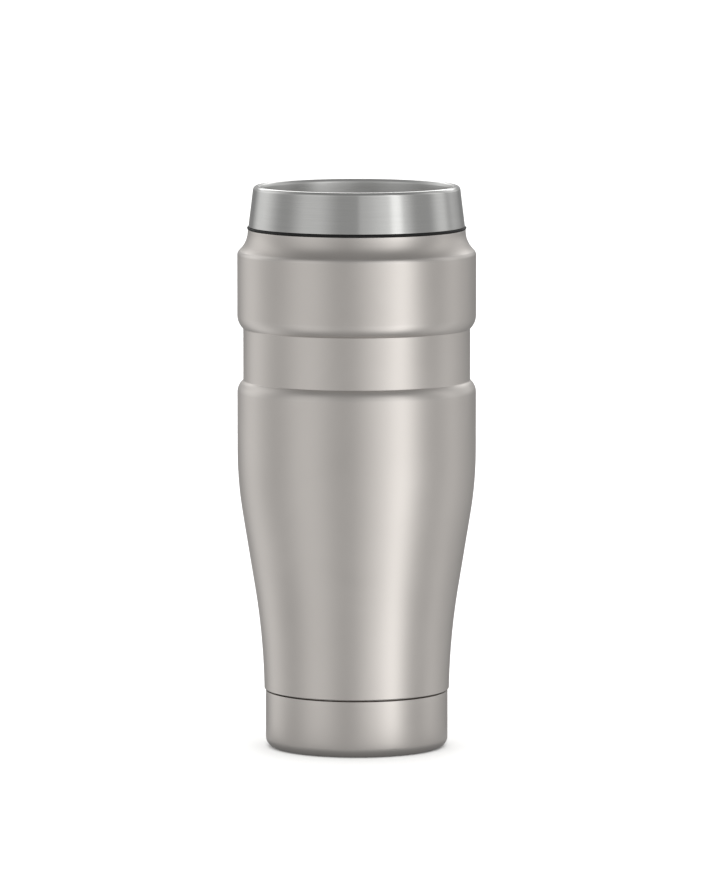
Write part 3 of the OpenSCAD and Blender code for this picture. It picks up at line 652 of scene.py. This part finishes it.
shader = add(tree, "BsdfPrincipled", {
    "Base Color": steel_mix, "Metallic": 1, "Roughness": gloss, "Normal": relief,
})
add(tree, "OutputMaterial", {"Surface": shader})

cover.data.materials.append(polished_steel)
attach(cover, "lid")
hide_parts("lid_cover")


# ---- Lid body ------------------------------------------------------------------------------------
# The lid's one large moulding, in black polypropylene: the ring that fills the cover, the well with
# its deck, and the plug with two thread ridges outside. The cover is crimped round it.

plug_z = reach("lid_body")[1]
thread_play = 0.35
plug_r = neck_in_r - thread_depth - thread_play
plug_wall = 2
well_r = plug_r - plug_wall
thread_drop = 1.825
plug_thread_z = neck_thread_z - thread_drop
plug_thread_turn = 150
flange_drop = 0.15
flange_z = lid_z - flange_drop
cover_gap = 0.1
slot_depth = 1.2
well_top_z = inner_end_z + slot_depth
core_drop = 1
core_top_z = lip_z - core_drop
deck_drop = 1.4
deck_z = lid_z - deck_drop
deck_h = 3
deck_low_z = deck_z - deck_h
bore_r = 4.05
boss_r = 7
boss_h = 2.5
boss_z = deck_low_z - boss_h
seal_play = 0.45
seal_in_r = plug_r + seal_play
seal_hook_r = (seal_in_r + crimp_r) / 2
hook_w = 0.8
hook_h = 1


def plug_ridge(angle, r, z):
    """The plug's moulded thread ridges, on its outer face only."""
    if abs(r - plug_r) > 0.01:
        return 0
    return thread_depth * thread_rise(angle, z, plug_thread_z, plug_thread_turn)


def turn_points(points, angle):
    """Points in the plane of the deck, turned round the mug's axis by an angle in degrees."""
    c, s = math.cos(math.radians(angle)), math.sin(math.radians(angle))
    return [(x * c - y * s, x * s + y * c) for x, y in points]


def ring_points(x, y, r, start=0, end=360, steps=48):
    """Points round a circle or along an arc of it, without the last one of a whole circle."""
    count = steps if end - start == 360 else steps + 1
    turns = [math.radians(start + (end - start) * i / steps) for i in range(count)]
    return [(x + r * math.cos(a), y + r * math.sin(a)) for a in turns]


def port(angle, margin=0):
    """The sip port's outline, a slot across the radius, grown by a margin and turned to an angle."""
    r = port_w / 2 + margin
    half = (port_l - port_w) / 2
    ends = ring_points(port_r, half, r, 0, 180, 16) + ring_points(port_r, -half, r, 180, 360, 16)
    return turn_points(ends, angle)


def vent(angle, margin=0):
    """The vent hole's outline, grown by a margin and turned to an angle."""
    return turn_points(ring_points(port_r, 0, vent_r + margin, steps=32), angle)


def plate(name, shape, low, high, edge=0, holes=()):
    """A flat piece with rounded edges; shape and holes are outlines that take a margin."""
    bm = bmesh.new()
    rim = bm.verts.layers.float.new("rim")
    steps = 4 if edge else 0
    levels = [(low + edge * (1 - math.cos(a)), edge * (1 - math.sin(a)), 1) for a in quarter(steps)]
    levels += [(high - edge * (1 - math.cos(a)), edge * (1 - math.sin(a)), 1) for a in quarter(steps)[::-1]]
    caps = [[], []]
    for outline, way in [(shape, -1)] + [(hole, 1) for hole in holes]:
        rings = []
        for z, inset, bend in levels:
            rings.append([bm.verts.new((x * mm, y * mm, z * mm)) for x, y in outline(margin=way * inset)])
            for vert in rings[-1]:
                vert[rim] = bend if edge else 0
        for ring, other in zip(rings, rings[1:]):
            for j in range(len(ring)):
                bm.faces.new((ring[j - 1], ring[j], other[j], other[j - 1]))
        for cap, ring in zip(caps, (rings[0], rings[-1])):
            cap += [bm.edges.get((ring[j - 1], ring[j])) for j in range(len(ring))]
    for cap in caps:
        bmesh.ops.triangle_fill(bm, use_beauty=True, edges=cap)
    return finish_mesh(name, bm)


def quarter(steps):
    """Angles of a quarter turn from the flat face round to the side."""
    return [math.pi / 2 * i / steps for i in range(steps + 1)] if steps else [math.pi / 2]


def grown(outline, angle, extra=0):
    """An outline at an angle, as a function of the margin that a plate adds to it."""
    return lambda margin=0: outline(angle, extra + margin)


def cut(piece, tool, how="DIFFERENCE"):
    """Cuts a piece with a tool, or joins the tool to it, and removes the tool."""
    change = piece.modifiers.new("cut", "BOOLEAN")
    change.operation = how
    change.solver = "EXACT"
    change.object = tool
    bpy.context.view_layer.objects.active = piece
    bpy.ops.object.modifier_apply(modifier=change.name)
    bpy.data.objects.remove(tool)
    piece.data.set_sharp_from_angle(angle=math.radians(sharp_angle))


behind = cover_wall + cover_gap
dial_r, spindle_low_z, bar_top_z = reach("drink_dial")
port_w = 6
port_l = 14
vent_r = 1.2
port_inset = 4
port_r = dial_r - port_inset - port_w / 2
port_angle = 270
vent_angle = 90
gasket_w = 2.2
gasket_depth = 1.5
stop_r = 13.5
stop_pin_r = 1.2
dial_float = 0.35
hook_in = seal_hook_r - hook_w / 2 - cover_gap
hook_out = seal_hook_r + hook_w / 2 + cover_gap
hook_z = flange_z + hook_h + cover_gap
rebate_r = crimp_r - cover_gap
slot_z = inner_end_z - cover_gap
thread_rows = 44
thread_top_z = flange_z - 2
over = 0.5
rows = [plug_z + over + (thread_top_z - plug_z) * i / thread_rows for i in range(thread_rows + 1)]
lid_outline = [(plug_r, plug_z, 0.3)] + [(plug_r, z) for z in rows]
lid_outline += [(plug_r, flange_z, 0.1), (hook_in, flange_z), (hook_in, hook_z), (hook_out, hook_z)]
lid_outline += [(hook_out, flange_z), (rebate_r, flange_z, 0.1), (rebate_r, lid_z + behind)]
lid_outline += [(cover_out(z, behind), z) for z in (lid_z + behind, core_top_z)]
lid_outline += [(cover_in(core_top_z, behind), core_top_z)]
lid_outline += [(cover_in(slot_z, behind), slot_z), (cover_in(slot_z, -cover_gap), slot_z)]
lid_outline += [(cover_in(slot_z, -cover_gap), well_top_z, 0.25), (well_r, well_top_z, 0.4)]
lid_outline += [(well_r, deck_z, 0.4), (bore_r, deck_z, 0.2), (bore_r, boss_z, 0.2), (boss_r, boss_z, 0.3)]
lid_outline += [(boss_r, deck_low_z, 0.4), (well_r, deck_low_z, 0.5), (well_r, plug_z, 0.2)]
lid = lathe("lid_moulding", rounded(lid_outline), ridge=plug_ridge)
for outline, angle in ((port, port_angle), (vent, vent_angle)):
    cut(lid, plate("cutter", grown(outline, angle), deck_low_z - over, deck_z + over))
    cut(lid, plate("cutter", grown(outline, angle, gasket_w), deck_z - gasket_depth, deck_z + over))
pin_place = turn_points([(stop_r, 0)], port_angle + 45)[0]
pin_h = 0.6
pin_low = deck_z - over
pin_top = deck_z + dial_float + pin_h
pin_outline = rounded([(0, pin_low), (stop_pin_r, pin_low), (stop_pin_r, pin_top, 0.3), (0, pin_top)])
cut(lid, lathe("cutter", pin_outline, 32, place=pin_place), "UNION")

# Injection-moulded polypropylene, black: the mould's spark-eroded texture leaves a soft, even sheen,
# and the edges that rub turn slightly grey.
black_plastic, tree = new_material("moulded_black_polypropylene")
where = add(tree, "TexCoord").outputs["Object"]
# the mould's texture is about 0.1 mm and is drawn 0.3 mm
spark = add(tree, "TexNoise", {"Vector": where, "Scale": 1 / (0.3 * mm), "Detail": 3})
dust = add(tree, "TexNoise", {"Vector": where, "Scale": 1 / (5 * mm), "Detail": 6})
rim = add(tree, "Attribute", attribute_name="rim").outputs["Fac"]
worn = add(tree, "Math", {0: rim, 1: dust}, operation="MULTIPLY")
tint = add(tree, "Mix", {0: dust, 6: linear("#141415"), 7: linear("#1E1F20")}, data_type="RGBA")
tint = add(tree, "Mix", {0: worn, 6: tint, 7: linear("#303132")}, data_type="RGBA")
gloss = add(tree, "MapRange", {0: dust, 1: 0.3, 2: 0.7, 3: 0.38, 4: 0.52})
relief = add(tree, "Bump", {"Height": spark, "Strength": 0.5, "Distance": 0.03 * mm})
shader = add(tree, "BsdfPrincipled", {"Base Color": tint, "IOR": 1.49, "Roughness": gloss, "Normal": relief})
add(tree, "OutputMaterial", {"Surface": shader})

lid.data.materials.append(black_plastic)
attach(lid, "lid")
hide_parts("lid_body")


# ---- Gaskets -------------------------------------------------------------------------------------
# Two flat rings of moulded silicone in pockets of the deck, one round the sip port and one round the
# vent. The dial slides over them, and they come out for washing.

grey_silicone, tree = new_material("moulded_grey_silicone")
where = add(tree, "TexCoord").outputs["Object"]
haze = add(tree, "TexNoise", {"Vector": where, "Scale": 1 / (2.5 * mm), "Detail": 4})
# the mould's matt finish is about 0.05 mm and is drawn 0.2 mm
skin = add(tree, "TexNoise", {"Vector": where, "Scale": 1 / (0.2 * mm), "Detail": 2})
tint = add(tree, "Mix", {0: haze, 6: linear("#7C7D7F"), 7: linear("#929395")}, data_type="RGBA")
gloss = add(tree, "MapRange", {0: haze, 1: 0.3, 2: 0.7, 3: 0.45, 4: 0.6})
relief = add(tree, "Bump", {"Height": skin, "Strength": 0.3, "Distance": 0.02 * mm})
shader = add(
    tree,
    "BsdfPrincipled",
    {
        "Base Color": tint,
        "IOR": 1.41,
        "Roughness": gloss,
        "Normal": relief,
        "Subsurface Weight": 0.1,
        "Subsurface Scale": 0.6 * mm,
    },
)
add(tree, "OutputMaterial", {"Surface": shader})

gasket_low = deck_z - gasket_depth + seat_gap
gasket_high = deck_z + dial_float - seat_gap
for name, node, outline, angle in (
    ("port_ring", "port_gasket", port, port_angle),
    ("vent_ring", "vent_gasket", vent, vent_angle),
):
    outer = grown(outline, angle, gasket_w - seat_gap)
    gasket = plate(name, outer, gasket_low, gasket_high, 0.3, [grown(outline, angle)])
    gasket.data.materials.append(grey_silicone)
    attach(gasket, "lid")
    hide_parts(node)


# ---- Drink dial ----------------------------------------------------------------------------------
# The valve that a thumb turns a quarter turn: a moulded disc with a waisted bar on top, a port and a
# vent through it, and a spindle below that runs in the deck's boss. A groove underneath sets its stops.

spindle_r = 4
dial_z = deck_z + dial_float
dial_h = 2.75
dial_top_z = dial_z + dial_h
o_ring_d = 1.6
o_ring_squeeze = 0.9
groove_r = spindle_r - o_ring_d * o_ring_squeeze + seat_gap
o_ring_rise = 1.5
o_ring_z = deck_low_z + o_ring_rise
shut_angle = port_angle - 90
bar_l = 36
bar_w = 11
bar_waist = 7.4
bar_hollow_r = 40
screw_r = 1.2
screw_l = 7


def dial_outline(margin=0):
    """The dial's round edge."""
    return ring_points(0, 0, dial_r + margin, steps=192)


def bar_outline(margin=0):
    """The thumb bar: round ends, and long sides hollowed to a waist."""
    r = bar_w / 2 + margin
    reach_x = (bar_l - bar_w) / 2
    xs = [reach_x * (1 - 2 * i / 32) for i in range(1, 32)]
    middle = bar_hollow_r + bar_waist / 2
    side = [(x, min(r, middle - math.sqrt((bar_hollow_r - margin) ** 2 - x * x))) for x in xs]
    ends = ring_points(reach_x, 0, r, -90, 90, 24) + side
    return turn_points(ends + turn_points(ends, 180), shut_angle)


def groove_outline(margin=0):
    """The stop groove's outline, an arc of a slot under the disc."""
    r = stop_pin_r + 0.2 + margin
    first, last = port_angle - 45, port_angle + 45
    outer = ring_points(0, 0, stop_r + r, first, last, 24)
    inner = ring_points(0, 0, stop_r - r, last, first, 24)
    cap_last = turn_points(ring_points(stop_r, 0, r, 0, 180, 10)[1:-1], last)
    cap_first = turn_points(ring_points(stop_r, 0, r, 180, 360, 10)[1:-1], first)
    return outer + cap_last + inner + cap_first


dial_holes = [grown(port, shut_angle), grown(vent, shut_angle + 180)]
dial = plate("thumb_dial", dial_outline, dial_z, dial_top_z, 0.8, dial_holes)
groove_half = o_ring_d / 2 + 0.1
spindle = rounded([
    (0, spindle_low_z), (spindle_r, spindle_low_z, 0.3), (spindle_r, o_ring_z - groove_half, 0.1),
    (groove_r, o_ring_z - groove_half, 0.2), (groove_r, o_ring_z + groove_half, 0.2),
    (spindle_r, o_ring_z + groove_half, 0.1), (spindle_r, dial_z + over), (0, dial_z + over),
])
cut(dial, plate("cutter", bar_outline, dial_top_z - 2, bar_top_z, 1.4), "UNION")
cut(dial, lathe("cutter", fine(spindle, 1.5), small_turns), "UNION")
cut(dial, plate("cutter", groove_outline, dial_z - over, dial_z + 0.8))
hole_low, hole_high, hole_r = spindle_low_z - over, spindle_low_z + screw_l, screw_r + seat_gap
screw_hole = [(0, hole_low), (hole_r, hole_low), (hole_r, hole_high), (0, hole_high)]
cut(dial, lathe("cutter", screw_hole, 32))

# The same polypropylene from a finer mould: a closer texture that feels smooth under the thumb, with
# a polish on the bar's edges where it is turned.
dial_plastic, tree = new_material("fine_moulded_black_polypropylene")
where = add(tree, "TexCoord").outputs["Object"]
# the mould's texture is about 0.06 mm and is drawn 0.2 mm
spark = add(tree, "TexNoise", {"Vector": where, "Scale": 1 / (0.2 * mm), "Detail": 2})
grease = add(tree, "TexNoise", {"Vector": where, "Scale": 1 / (8 * mm), "Detail": 5, "Distortion": 0.5})
rim = add(tree, "Attribute", attribute_name="rim").outputs["Fac"]
worn = add(tree, "Math", {0: rim, 1: grease}, operation="MULTIPLY")
tint = add(tree, "Mix", {0: grease, 6: linear("#19191B"), 7: linear("#222325")}, data_type="RGBA")
tint = add(tree, "Mix", {0: worn, 6: tint, 7: linear("#353638")}, data_type="RGBA")
gloss = add(tree, "MapRange", {0: grease, 1: 0.3, 2: 0.7, 3: 0.3, 4: 0.44})
gloss = add(tree, "Math", {0: worn, 1: -0.12, 2: gloss}, operation="MULTIPLY_ADD")
relief = add(tree, "Bump", {"Height": spark, "Strength": 0.3, "Distance": 0.012 * mm})
shader = add(tree, "BsdfPrincipled", {"Base Color": tint, "IOR": 1.49, "Roughness": gloss, "Normal": relief})
add(tree, "OutputMaterial", {"Surface": shader})

dial.data.materials.append(dial_plastic)
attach(dial, "dial")
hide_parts("drink_dial")


# ---- O-ring --------------------------------------------------------------------------------------
# A silicone O-ring in the spindle's groove, pressed flat where it meets the groove and the boss, so
# that no drink runs down the spindle.

o_ring_in = groove_r + seat_gap
o_ring_out = bore_r - seat_gap / 2
o_ring_mid = (o_ring_in + o_ring_out) / 2
ring_turns = 96
o_ring_points = arc(o_ring_mid, o_ring_z, o_ring_d / 2, 0, 360)[:-1]
o_ring_outline = [(min(o_ring_out, max(o_ring_in, r)), z) for r, z in o_ring_points]
o_ring = lathe("spindle_ring", o_ring_outline, ring_turns)

# Compression-moulded silicone, black: dull and slightly dusty, with a dim, wide highlight.
black_silicone, tree = new_material("moulded_black_silicone")
where = add(tree, "TexCoord").outputs["Object"]
dust = add(tree, "TexNoise", {"Vector": where, "Scale": 1 / (1.8 * mm), "Detail": 6})
# the mould's matt finish is about 0.05 mm and is drawn 0.2 mm
skin = add(tree, "TexNoise", {"Vector": where, "Scale": 1 / (0.2 * mm), "Detail": 2})
tint = add(tree, "Mix", {0: dust, 6: linear("#070707"), 7: linear("#111112")}, data_type="RGBA")
gloss = add(tree, "MapRange", {0: dust, 1: 0.3, 2: 0.7, 3: 0.5, 4: 0.68})
relief = add(tree, "Bump", {"Height": skin, "Strength": 0.3, "Distance": 0.02 * mm})
shader = add(tree, "BsdfPrincipled", {"Base Color": tint, "IOR": 1.41, "Roughness": gloss, "Normal": relief})
add(tree, "OutputMaterial", {"Surface": shader})

o_ring.data.materials.append(black_silicone)
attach(o_ring, "dial")
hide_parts("spindle_o_ring")


# ---- Dial spring ---------------------------------------------------------------------------------
# A coil of drawn stainless spring wire between the boss and the washer, with its end turns closed. It
# holds the dial down on its gaskets.

wire_r = 0.45
spring_turns = 3.5
spring_play = 0.7
spring_r = spindle_r + wire_r + spring_play
spring_low = spindle_low_z + seat_gap + wire_r
spring_high = boss_z - seat_gap - wire_r
closed_pitch = 1.05
closed_rise = 2 * wire_r * closed_pitch
open_rise = (spring_high - spring_low - 2 * closed_rise) / (spring_turns - 2)
turn_steps = 72
wire_sides = 16
bm = bmesh.new()
loops = []
for i in range(round(spring_turns * turn_steps) + 1):
    lap = i / turn_steps
    closed = min(lap, 1) + max(lap - spring_turns + 1, 0)
    wire_z = spring_low + closed_rise * closed + open_rise * min(max(lap - 1, 0), spring_turns - 2)
    a = math.tau * lap
    loop = []
    for j in range(wire_sides):
        b = math.tau * j / wire_sides
        r = spring_r + wire_r * math.cos(b)
        z = wire_z + wire_r * math.sin(b)
        loop.append(bm.verts.new((r * math.cos(a) * mm, r * math.sin(a) * mm, z * mm)))
    loops.append(loop)
for loop, other in zip(loops, loops[1:]):
    for j in range(wire_sides):
        bm.faces.new((loop[j - 1], loop[j], other[j], other[j - 1]))
bm.faces.new(loops[0])
bm.faces.new(loops[-1])
spring = finish_mesh("coil_spring", bm)

# Hard-drawn 302 stainless wire: dull silver, with faint marks from the drawing die.
spring_steel, tree = new_material("hard_drawn_302_stainless")
where = add(tree, "TexCoord").outputs["Object"]
die = add(tree, "TexNoise", {"Vector": where, "Scale": 1 / (0.5 * mm), "Detail": 5})
oil = add(tree, "TexNoise", {"Vector": where, "Scale": 1 / (4 * mm), "Detail": 3})
drawn = add(tree, "Mix", {0: oil, 6: linear("#AFACA7"), 7: linear("#C6C3BE")}, data_type="RGBA")
gloss = add(tree, "MapRange", {0: die, 1: 0.3, 2: 0.7, 3: 0.24, 4: 0.38})
relief = add(tree, "Bump", {"Height": die, "Strength": 0.4, "Distance": 0.02 * mm})
shader = add(tree, "BsdfPrincipled", {
    "Base Color": drawn, "Metallic": 1, "Roughness": gloss, "Normal": relief,
})
add(tree, "OutputMaterial", {"Surface": shader})

spring.data.materials.append(spring_steel)
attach(spring, "dial")
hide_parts("dial_spring")


# ---- Washer and screw ----------------------------------------------------------------------------
# A stamped stainless washer that the spring stands on, and a pan-head screw with a cross recess that
# cuts its own thread in the spindle and holds both.

washer_r, washer_low, washer_high = reach("spring_washer")
washer_hole = screw_r + 0.1
washer_outline = rounded([
    (washer_hole, washer_low, 0.1), (washer_r, washer_low, 0.2),
    (washer_r, washer_high, 0.1), (washer_hole, washer_high, 0.2),
])
washer = lathe("flat_washer", fine(washer_outline, 1), ring_turns)
washer.data.materials.append(spring_steel)
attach(washer, "dial")
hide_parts("spring_washer")

head_r, head_low, screw_top = reach("retainer_screw")
recess_w = 0.8
recess_depth = 0.9
screw_outline = rounded([
    (0, head_low), (head_r, head_low, 0.7), (head_r, washer_low, 0.1),
    (screw_r, washer_low, 0.1), (screw_r, screw_top, 0.4), (0, screw_top),
])
screw = lathe("pan_head_screw", fine(screw_outline, 0.5), small_turns)
recess_l = head_r * 1.2


def recess(angle, margin=0):
    """One bar of the screw's cross recess."""
    half_l, half_w = recess_l / 2 + margin, recess_w / 2 + margin
    return turn_points([(half_l, -half_w), (half_l, half_w), (-half_l, half_w), (-half_l, -half_w)], angle)


for angle in (0, 90):
    cut(screw, plate("cutter", grown(recess, angle), head_low - over, head_low + recess_depth, 0.15))
screw.data.materials.append(spring_steel)
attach(screw, "dial")
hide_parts("retainer_screw")


# ---- Plug cap ------------------------------------------------------------------------------------
# The moulding that closes the plug from below and keeps its air space dry. Two ducts stand on it, one
# for the drink and one for the air, and it is welded into the lid body.

cap_z, cap_top_z = reach("plug_cap")[1:]
cap_play = 0.4
cap_r = vessel_r - cap_play
plug_seal_z = ledge_low_z - cap_play
spigot_r = well_r - seat_gap
spigot_h = 2
spigot_wall = 2
spigot_top_z = plug_z + spigot_h
spigot_in_r = spigot_r - spigot_wall
duct_wall = 1.4
cap_points = [(0, cap_z), (cap_r, cap_z, 0.8), (cap_r, plug_seal_z, 0.2), (spigot_r, plug_seal_z, 0.1)]
cap_points += [(spigot_r, spigot_top_z, 0.3), (spigot_in_r, spigot_top_z, 0.3)]
cap_points += [(spigot_in_r, plug_seal_z, 0.5), (0, plug_seal_z)]
cap = lathe("plug_end", fine(rounded(cap_points), 2))
for outline, angle in ((port, port_angle), (vent, vent_angle)):
    duct = plate("cutter", grown(outline, angle, duct_wall), cap_z + 0.8, cap_top_z, 0.15)
    cut(cap, duct, "UNION")
    cut(cap, plate("cutter", grown(outline, angle), cap_z - over, cap_top_z + over))
cap.data.materials.append(black_plastic)
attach(cap, "lid")
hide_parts("plug_cap")


# ---- Plug seal -----------------------------------------------------------------------------------
# A silicone ring round the plug's lower end. Its lip follows the vessel's conical ledge, and the
# thread presses it home.

seal_low = plug_seal_z + seat_gap
seal_high = plug_z - seat_gap
ledge_gap = 0.22


def ledge_at(z):
    """Radius of the vessel's sealing ledge at a height."""
    return vessel_r + ledge_w * (z - ledge_low_z) / ledge_h


lip_top = seal_high - 0.5
plug_ring_outline = rounded([
    (well_r + seat_gap, seal_low, 0.1),
    (ledge_at(seal_low + 0.4) - ledge_gap - 0.2, seal_low, 0.2),
    (ledge_at(seal_low + 0.6) - ledge_gap, seal_low + 0.6, 0.2),
    (ledge_at(lip_top - 0.3) - ledge_gap, lip_top - 0.3, 0.12),
    (ledge_at(lip_top - 0.3) - ledge_gap, lip_top, 0.12),
    (plug_r - 0.7, seal_high, 0.2),
    (well_r + seat_gap, seal_high, 0.1),
])
plug_ring = lathe("plug_ring", fine(plug_ring_outline, 1))
plug_ring.data.materials.append(black_silicone)
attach(plug_ring, "lid")
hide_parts("plug_seal")


# ---- Neck seal -----------------------------------------------------------------------------------
# The black line under the lid: a silicone ring between the mouth and the lid, hooked into a groove of
# the lid body. Its outer edge bulges a little past the steel.

neck_seal_r, neck_seal_low, neck_seal_top = reach("neck_seal")
neck_seal_high = neck_seal_top - hook_h
edge_low = neck_seal_low + seat_gap
hem_gap = 0.08
edge_high = hem_z - hem_gap
bulge = (edge_high - edge_low) / 2
bevel = 0.1
hook_outer = seal_hook_r + hook_w / 2
hook_inner = seal_hook_r - hook_w / 2
neck_in, neck_out = hem_r - 1.4, hem_r - 1
ring_outline = [(seal_in_r, neck_seal_low), (neck_in, neck_seal_low), (neck_out, edge_low)]
ring_outline += arc(neck_seal_r - bulge, edge_low + bulge, bulge, -90, 90)
ring_outline += [(neck_out, edge_high), (neck_in, neck_seal_high), (hook_outer, neck_seal_high)]
ring_outline += [(hook_outer, neck_seal_top - bevel), (hook_outer - bevel, neck_seal_top)]
ring_outline += [(hook_inner + bevel, neck_seal_top), (hook_inner, neck_seal_top - bevel)]
ring_outline += [(hook_inner, neck_seal_high), (seal_in_r, neck_seal_high)]
neck_ring = lathe("neck_ring", fine(ring_outline, 0.6), wide_turns)
neck_ring.data.materials.append(black_silicone)
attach(neck_ring, "seal")
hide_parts("neck_seal")


# ---- Studio --------------------------------------------------------------------------------------
# A pale floor, soft light from above that only the floor and the dull surfaces feel, and a ring of
# tall softboxes that the steel mirrors as upright bands.

floor_half = 60
floor_corners = [(x * floor_half, y * floor_half, 0) for x, y in ((-1, -1), (1, -1), (1, 1), (-1, 1))]
floor_mesh = bpy.data.meshes.new("floor")
floor_mesh.from_pydata(floor_corners, [], [range(4)])
floor = bpy.data.objects.new("floor", floor_mesh)
bpy.context.scene.collection.objects.link(floor)
floor.visible_glossy = False

# Matt white laminate: it scatters the light evenly, so that the floor is plain and nearly white.
white_laminate, tree = new_material("matt_white_laminate")
shader = add(tree, "BsdfPrincipled", {"Base Color": linear("#F2F2F1"), "Roughness": 0.9})
add(tree, "OutputMaterial", {"Surface": shader})
floor_mesh.materials.append(white_laminate)

# A card just under the floor that glows with a painted shadow: only reflections see it, as the floor's shadow
# round the foot, dim near the foot and brighter further out as a painted reflection of the floor
card_r = 60
card_z = -0.5
card_corners = [(x * mm, y * mm, card_z * mm) for x, y in ring_points(0, 0, card_r)]
card_mesh = bpy.data.meshes.new("card")
card_mesh.from_pydata(card_corners, [], [range(len(card_corners))])
card = bpy.data.objects.new("card", card_mesh)
bpy.context.scene.collection.objects.link(card)
painted_shadow_card, tree = new_material("painted_shadow_card")
away = add(tree, "VectorMath", {0: add(tree, "TexCoord").outputs["Object"]}, operation="LENGTH")
# painted shadow: the card's glow is dim near the foot and brighter further out
level = add(tree, "MapRange", {0: away, 1: 26 * mm, 2: 42 * mm, 3: 0.1, 4: 0.42})
shade = add(tree, "Emission", {"Color": linear("#FFFFFF"), "Strength": level})
add(tree, "OutputMaterial", {"Surface": shade})
card_mesh.materials.append(painted_shadow_card)

overhead = bpy.data.objects.new("overhead", bpy.data.lights.new("overhead", "SUN"))
overhead.data.energy = 3.3
overhead.data.angle = math.radians(120)
overhead.visible_glossy = False
bpy.context.scene.collection.objects.link(overhead)

# Softboxes round the mug: the degrees round from the camera, to its right, where each one starts and
# ends, how softly each side fades, and how bright it is above the horizon and below it.
softboxes = (
    (-131, -122, 22, 34, 0.58, 0.38),
    (-56, -44, 26, 28, 0.32, 0.32),
    (3, 46, 1.5, 24, 0.21, 0.26),
    (38, 46, 34, 24, 0.32, 0.42),
    (41, 47, 6, 6, 0.55, 0.6),
    (50, 57, 8, 14, 0, 0.2),
    (104, 108, 20, 14, 0.45, 0.26),
    (130, 144, 16, 12, 0.36, 0.05),
)
world = bpy.data.worlds.new("studio")
bpy.context.scene.world = world
world.use_nodes = True
tree = world.node_tree
tree.nodes.clear()
way = add(tree, "SeparateXYZ", {0: add(tree, "TexCoord").outputs["Generated"]})
front = add(tree, "Math", {0: way.outputs["Y"], 1: -1}, operation="MULTIPLY")
bearing = add(tree, "Math", {0: way.outputs["X"], 1: front}, operation="ARCTAN2")
height = add(tree, "Math", {0: way.outputs["Z"]}, operation="ARCSINE")
walls_above = 0.42
walls_below = 0.48
back_below = -0.2
soft = {"interpolation_type": "SMOOTHSTEP"}
above = walls_above
steps = {0: front, 1: -0.55, 2: -0.9, 3: walls_below, 4: walls_below + back_below}
below = add(tree, "MapRange", steps, **soft)
for start, end, start_fade, end_fade, bright_above, bright_below in softboxes:
    turns = [math.radians(a) for a in (start - start_fade, start, end, end + end_fade)]
    rise = add(tree, "MapRange", {0: bearing, 1: turns[0], 2: turns[1]}, **soft)
    fall = add(tree, "MapRange", {0: bearing, 1: turns[2], 2: turns[3], 3: 1, 4: 0}, **soft)
    box = add(tree, "Math", {0: rise, 1: fall}, operation="MULTIPLY")
    above = add(tree, "Math", {0: box, 1: bright_above, 2: above}, operation="MULTIPLY_ADD")
    below = add(tree, "Math", {0: box, 1: bright_below, 2: below}, operation="MULTIPLY_ADD")
horizon = add(tree, "MapRange", {0: height, 1: math.radians(-3), 2: math.radians(7)}, **soft)
light = add(tree, "Mix", {0: horizon, 2: below, 3: above})
ceiling = 0.28
under = 0.33
for start, end, bright in ((22, 60, ceiling), (-30, -65, under)):
    share = add(tree, "MapRange", {0: height, 1: math.radians(start), 2: math.radians(end)}, **soft)
    light = add(tree, "Mix", {0: share, 2: light, 3: bright})

# A white panel behind the mug and above it, which shines only on the lip
panel_bright = 2.2
panel = add(tree, "MapRange", {0: front, 1: -0.7, 2: -0.85}, **soft)
for start, end, first, last in ((14, 26, 0, 1), (50, 70, 1, 0)):
    steps = {0: height, 1: math.radians(start), 2: math.radians(end), 3: first, 4: last}
    edge = add(tree, "MapRange", steps, **soft)
    panel = add(tree, "Math", {0: panel, 1: edge}, operation="MULTIPLY")
light = add(tree, "Math", {0: panel, 1: panel_bright, 2: light}, operation="MULTIPLY_ADD")
background = add(tree, "Background", {"Color": linear("#FFFFFF"), "Strength": light})
add(tree, "OutputWorld", {"Surface": background})

# The camera looks down at the mug a little, from 2.45 m away, along +Y
aim = Vector((0, 0, 105.47 * mm))
tilt = math.radians(6.2235)
distance = 2451.7 * mm
camera = bpy.data.objects.new("camera", bpy.data.cameras.new("camera"))
camera.data.sensor_width = 36
camera.data.lens = 284.8
camera.data.shift_x = -0.0008
camera.data.clip_end = 200
camera.location = aim + distance * Vector((0, -math.cos(tilt), math.sin(tilt)))
camera.rotation_euler = (math.pi / 2 - tilt, 0, 0)
bpy.context.scene.collection.objects.link(camera)
bpy.context.scene.camera = camera
bpy.context.scene.view_settings.view_transform = "Standard"
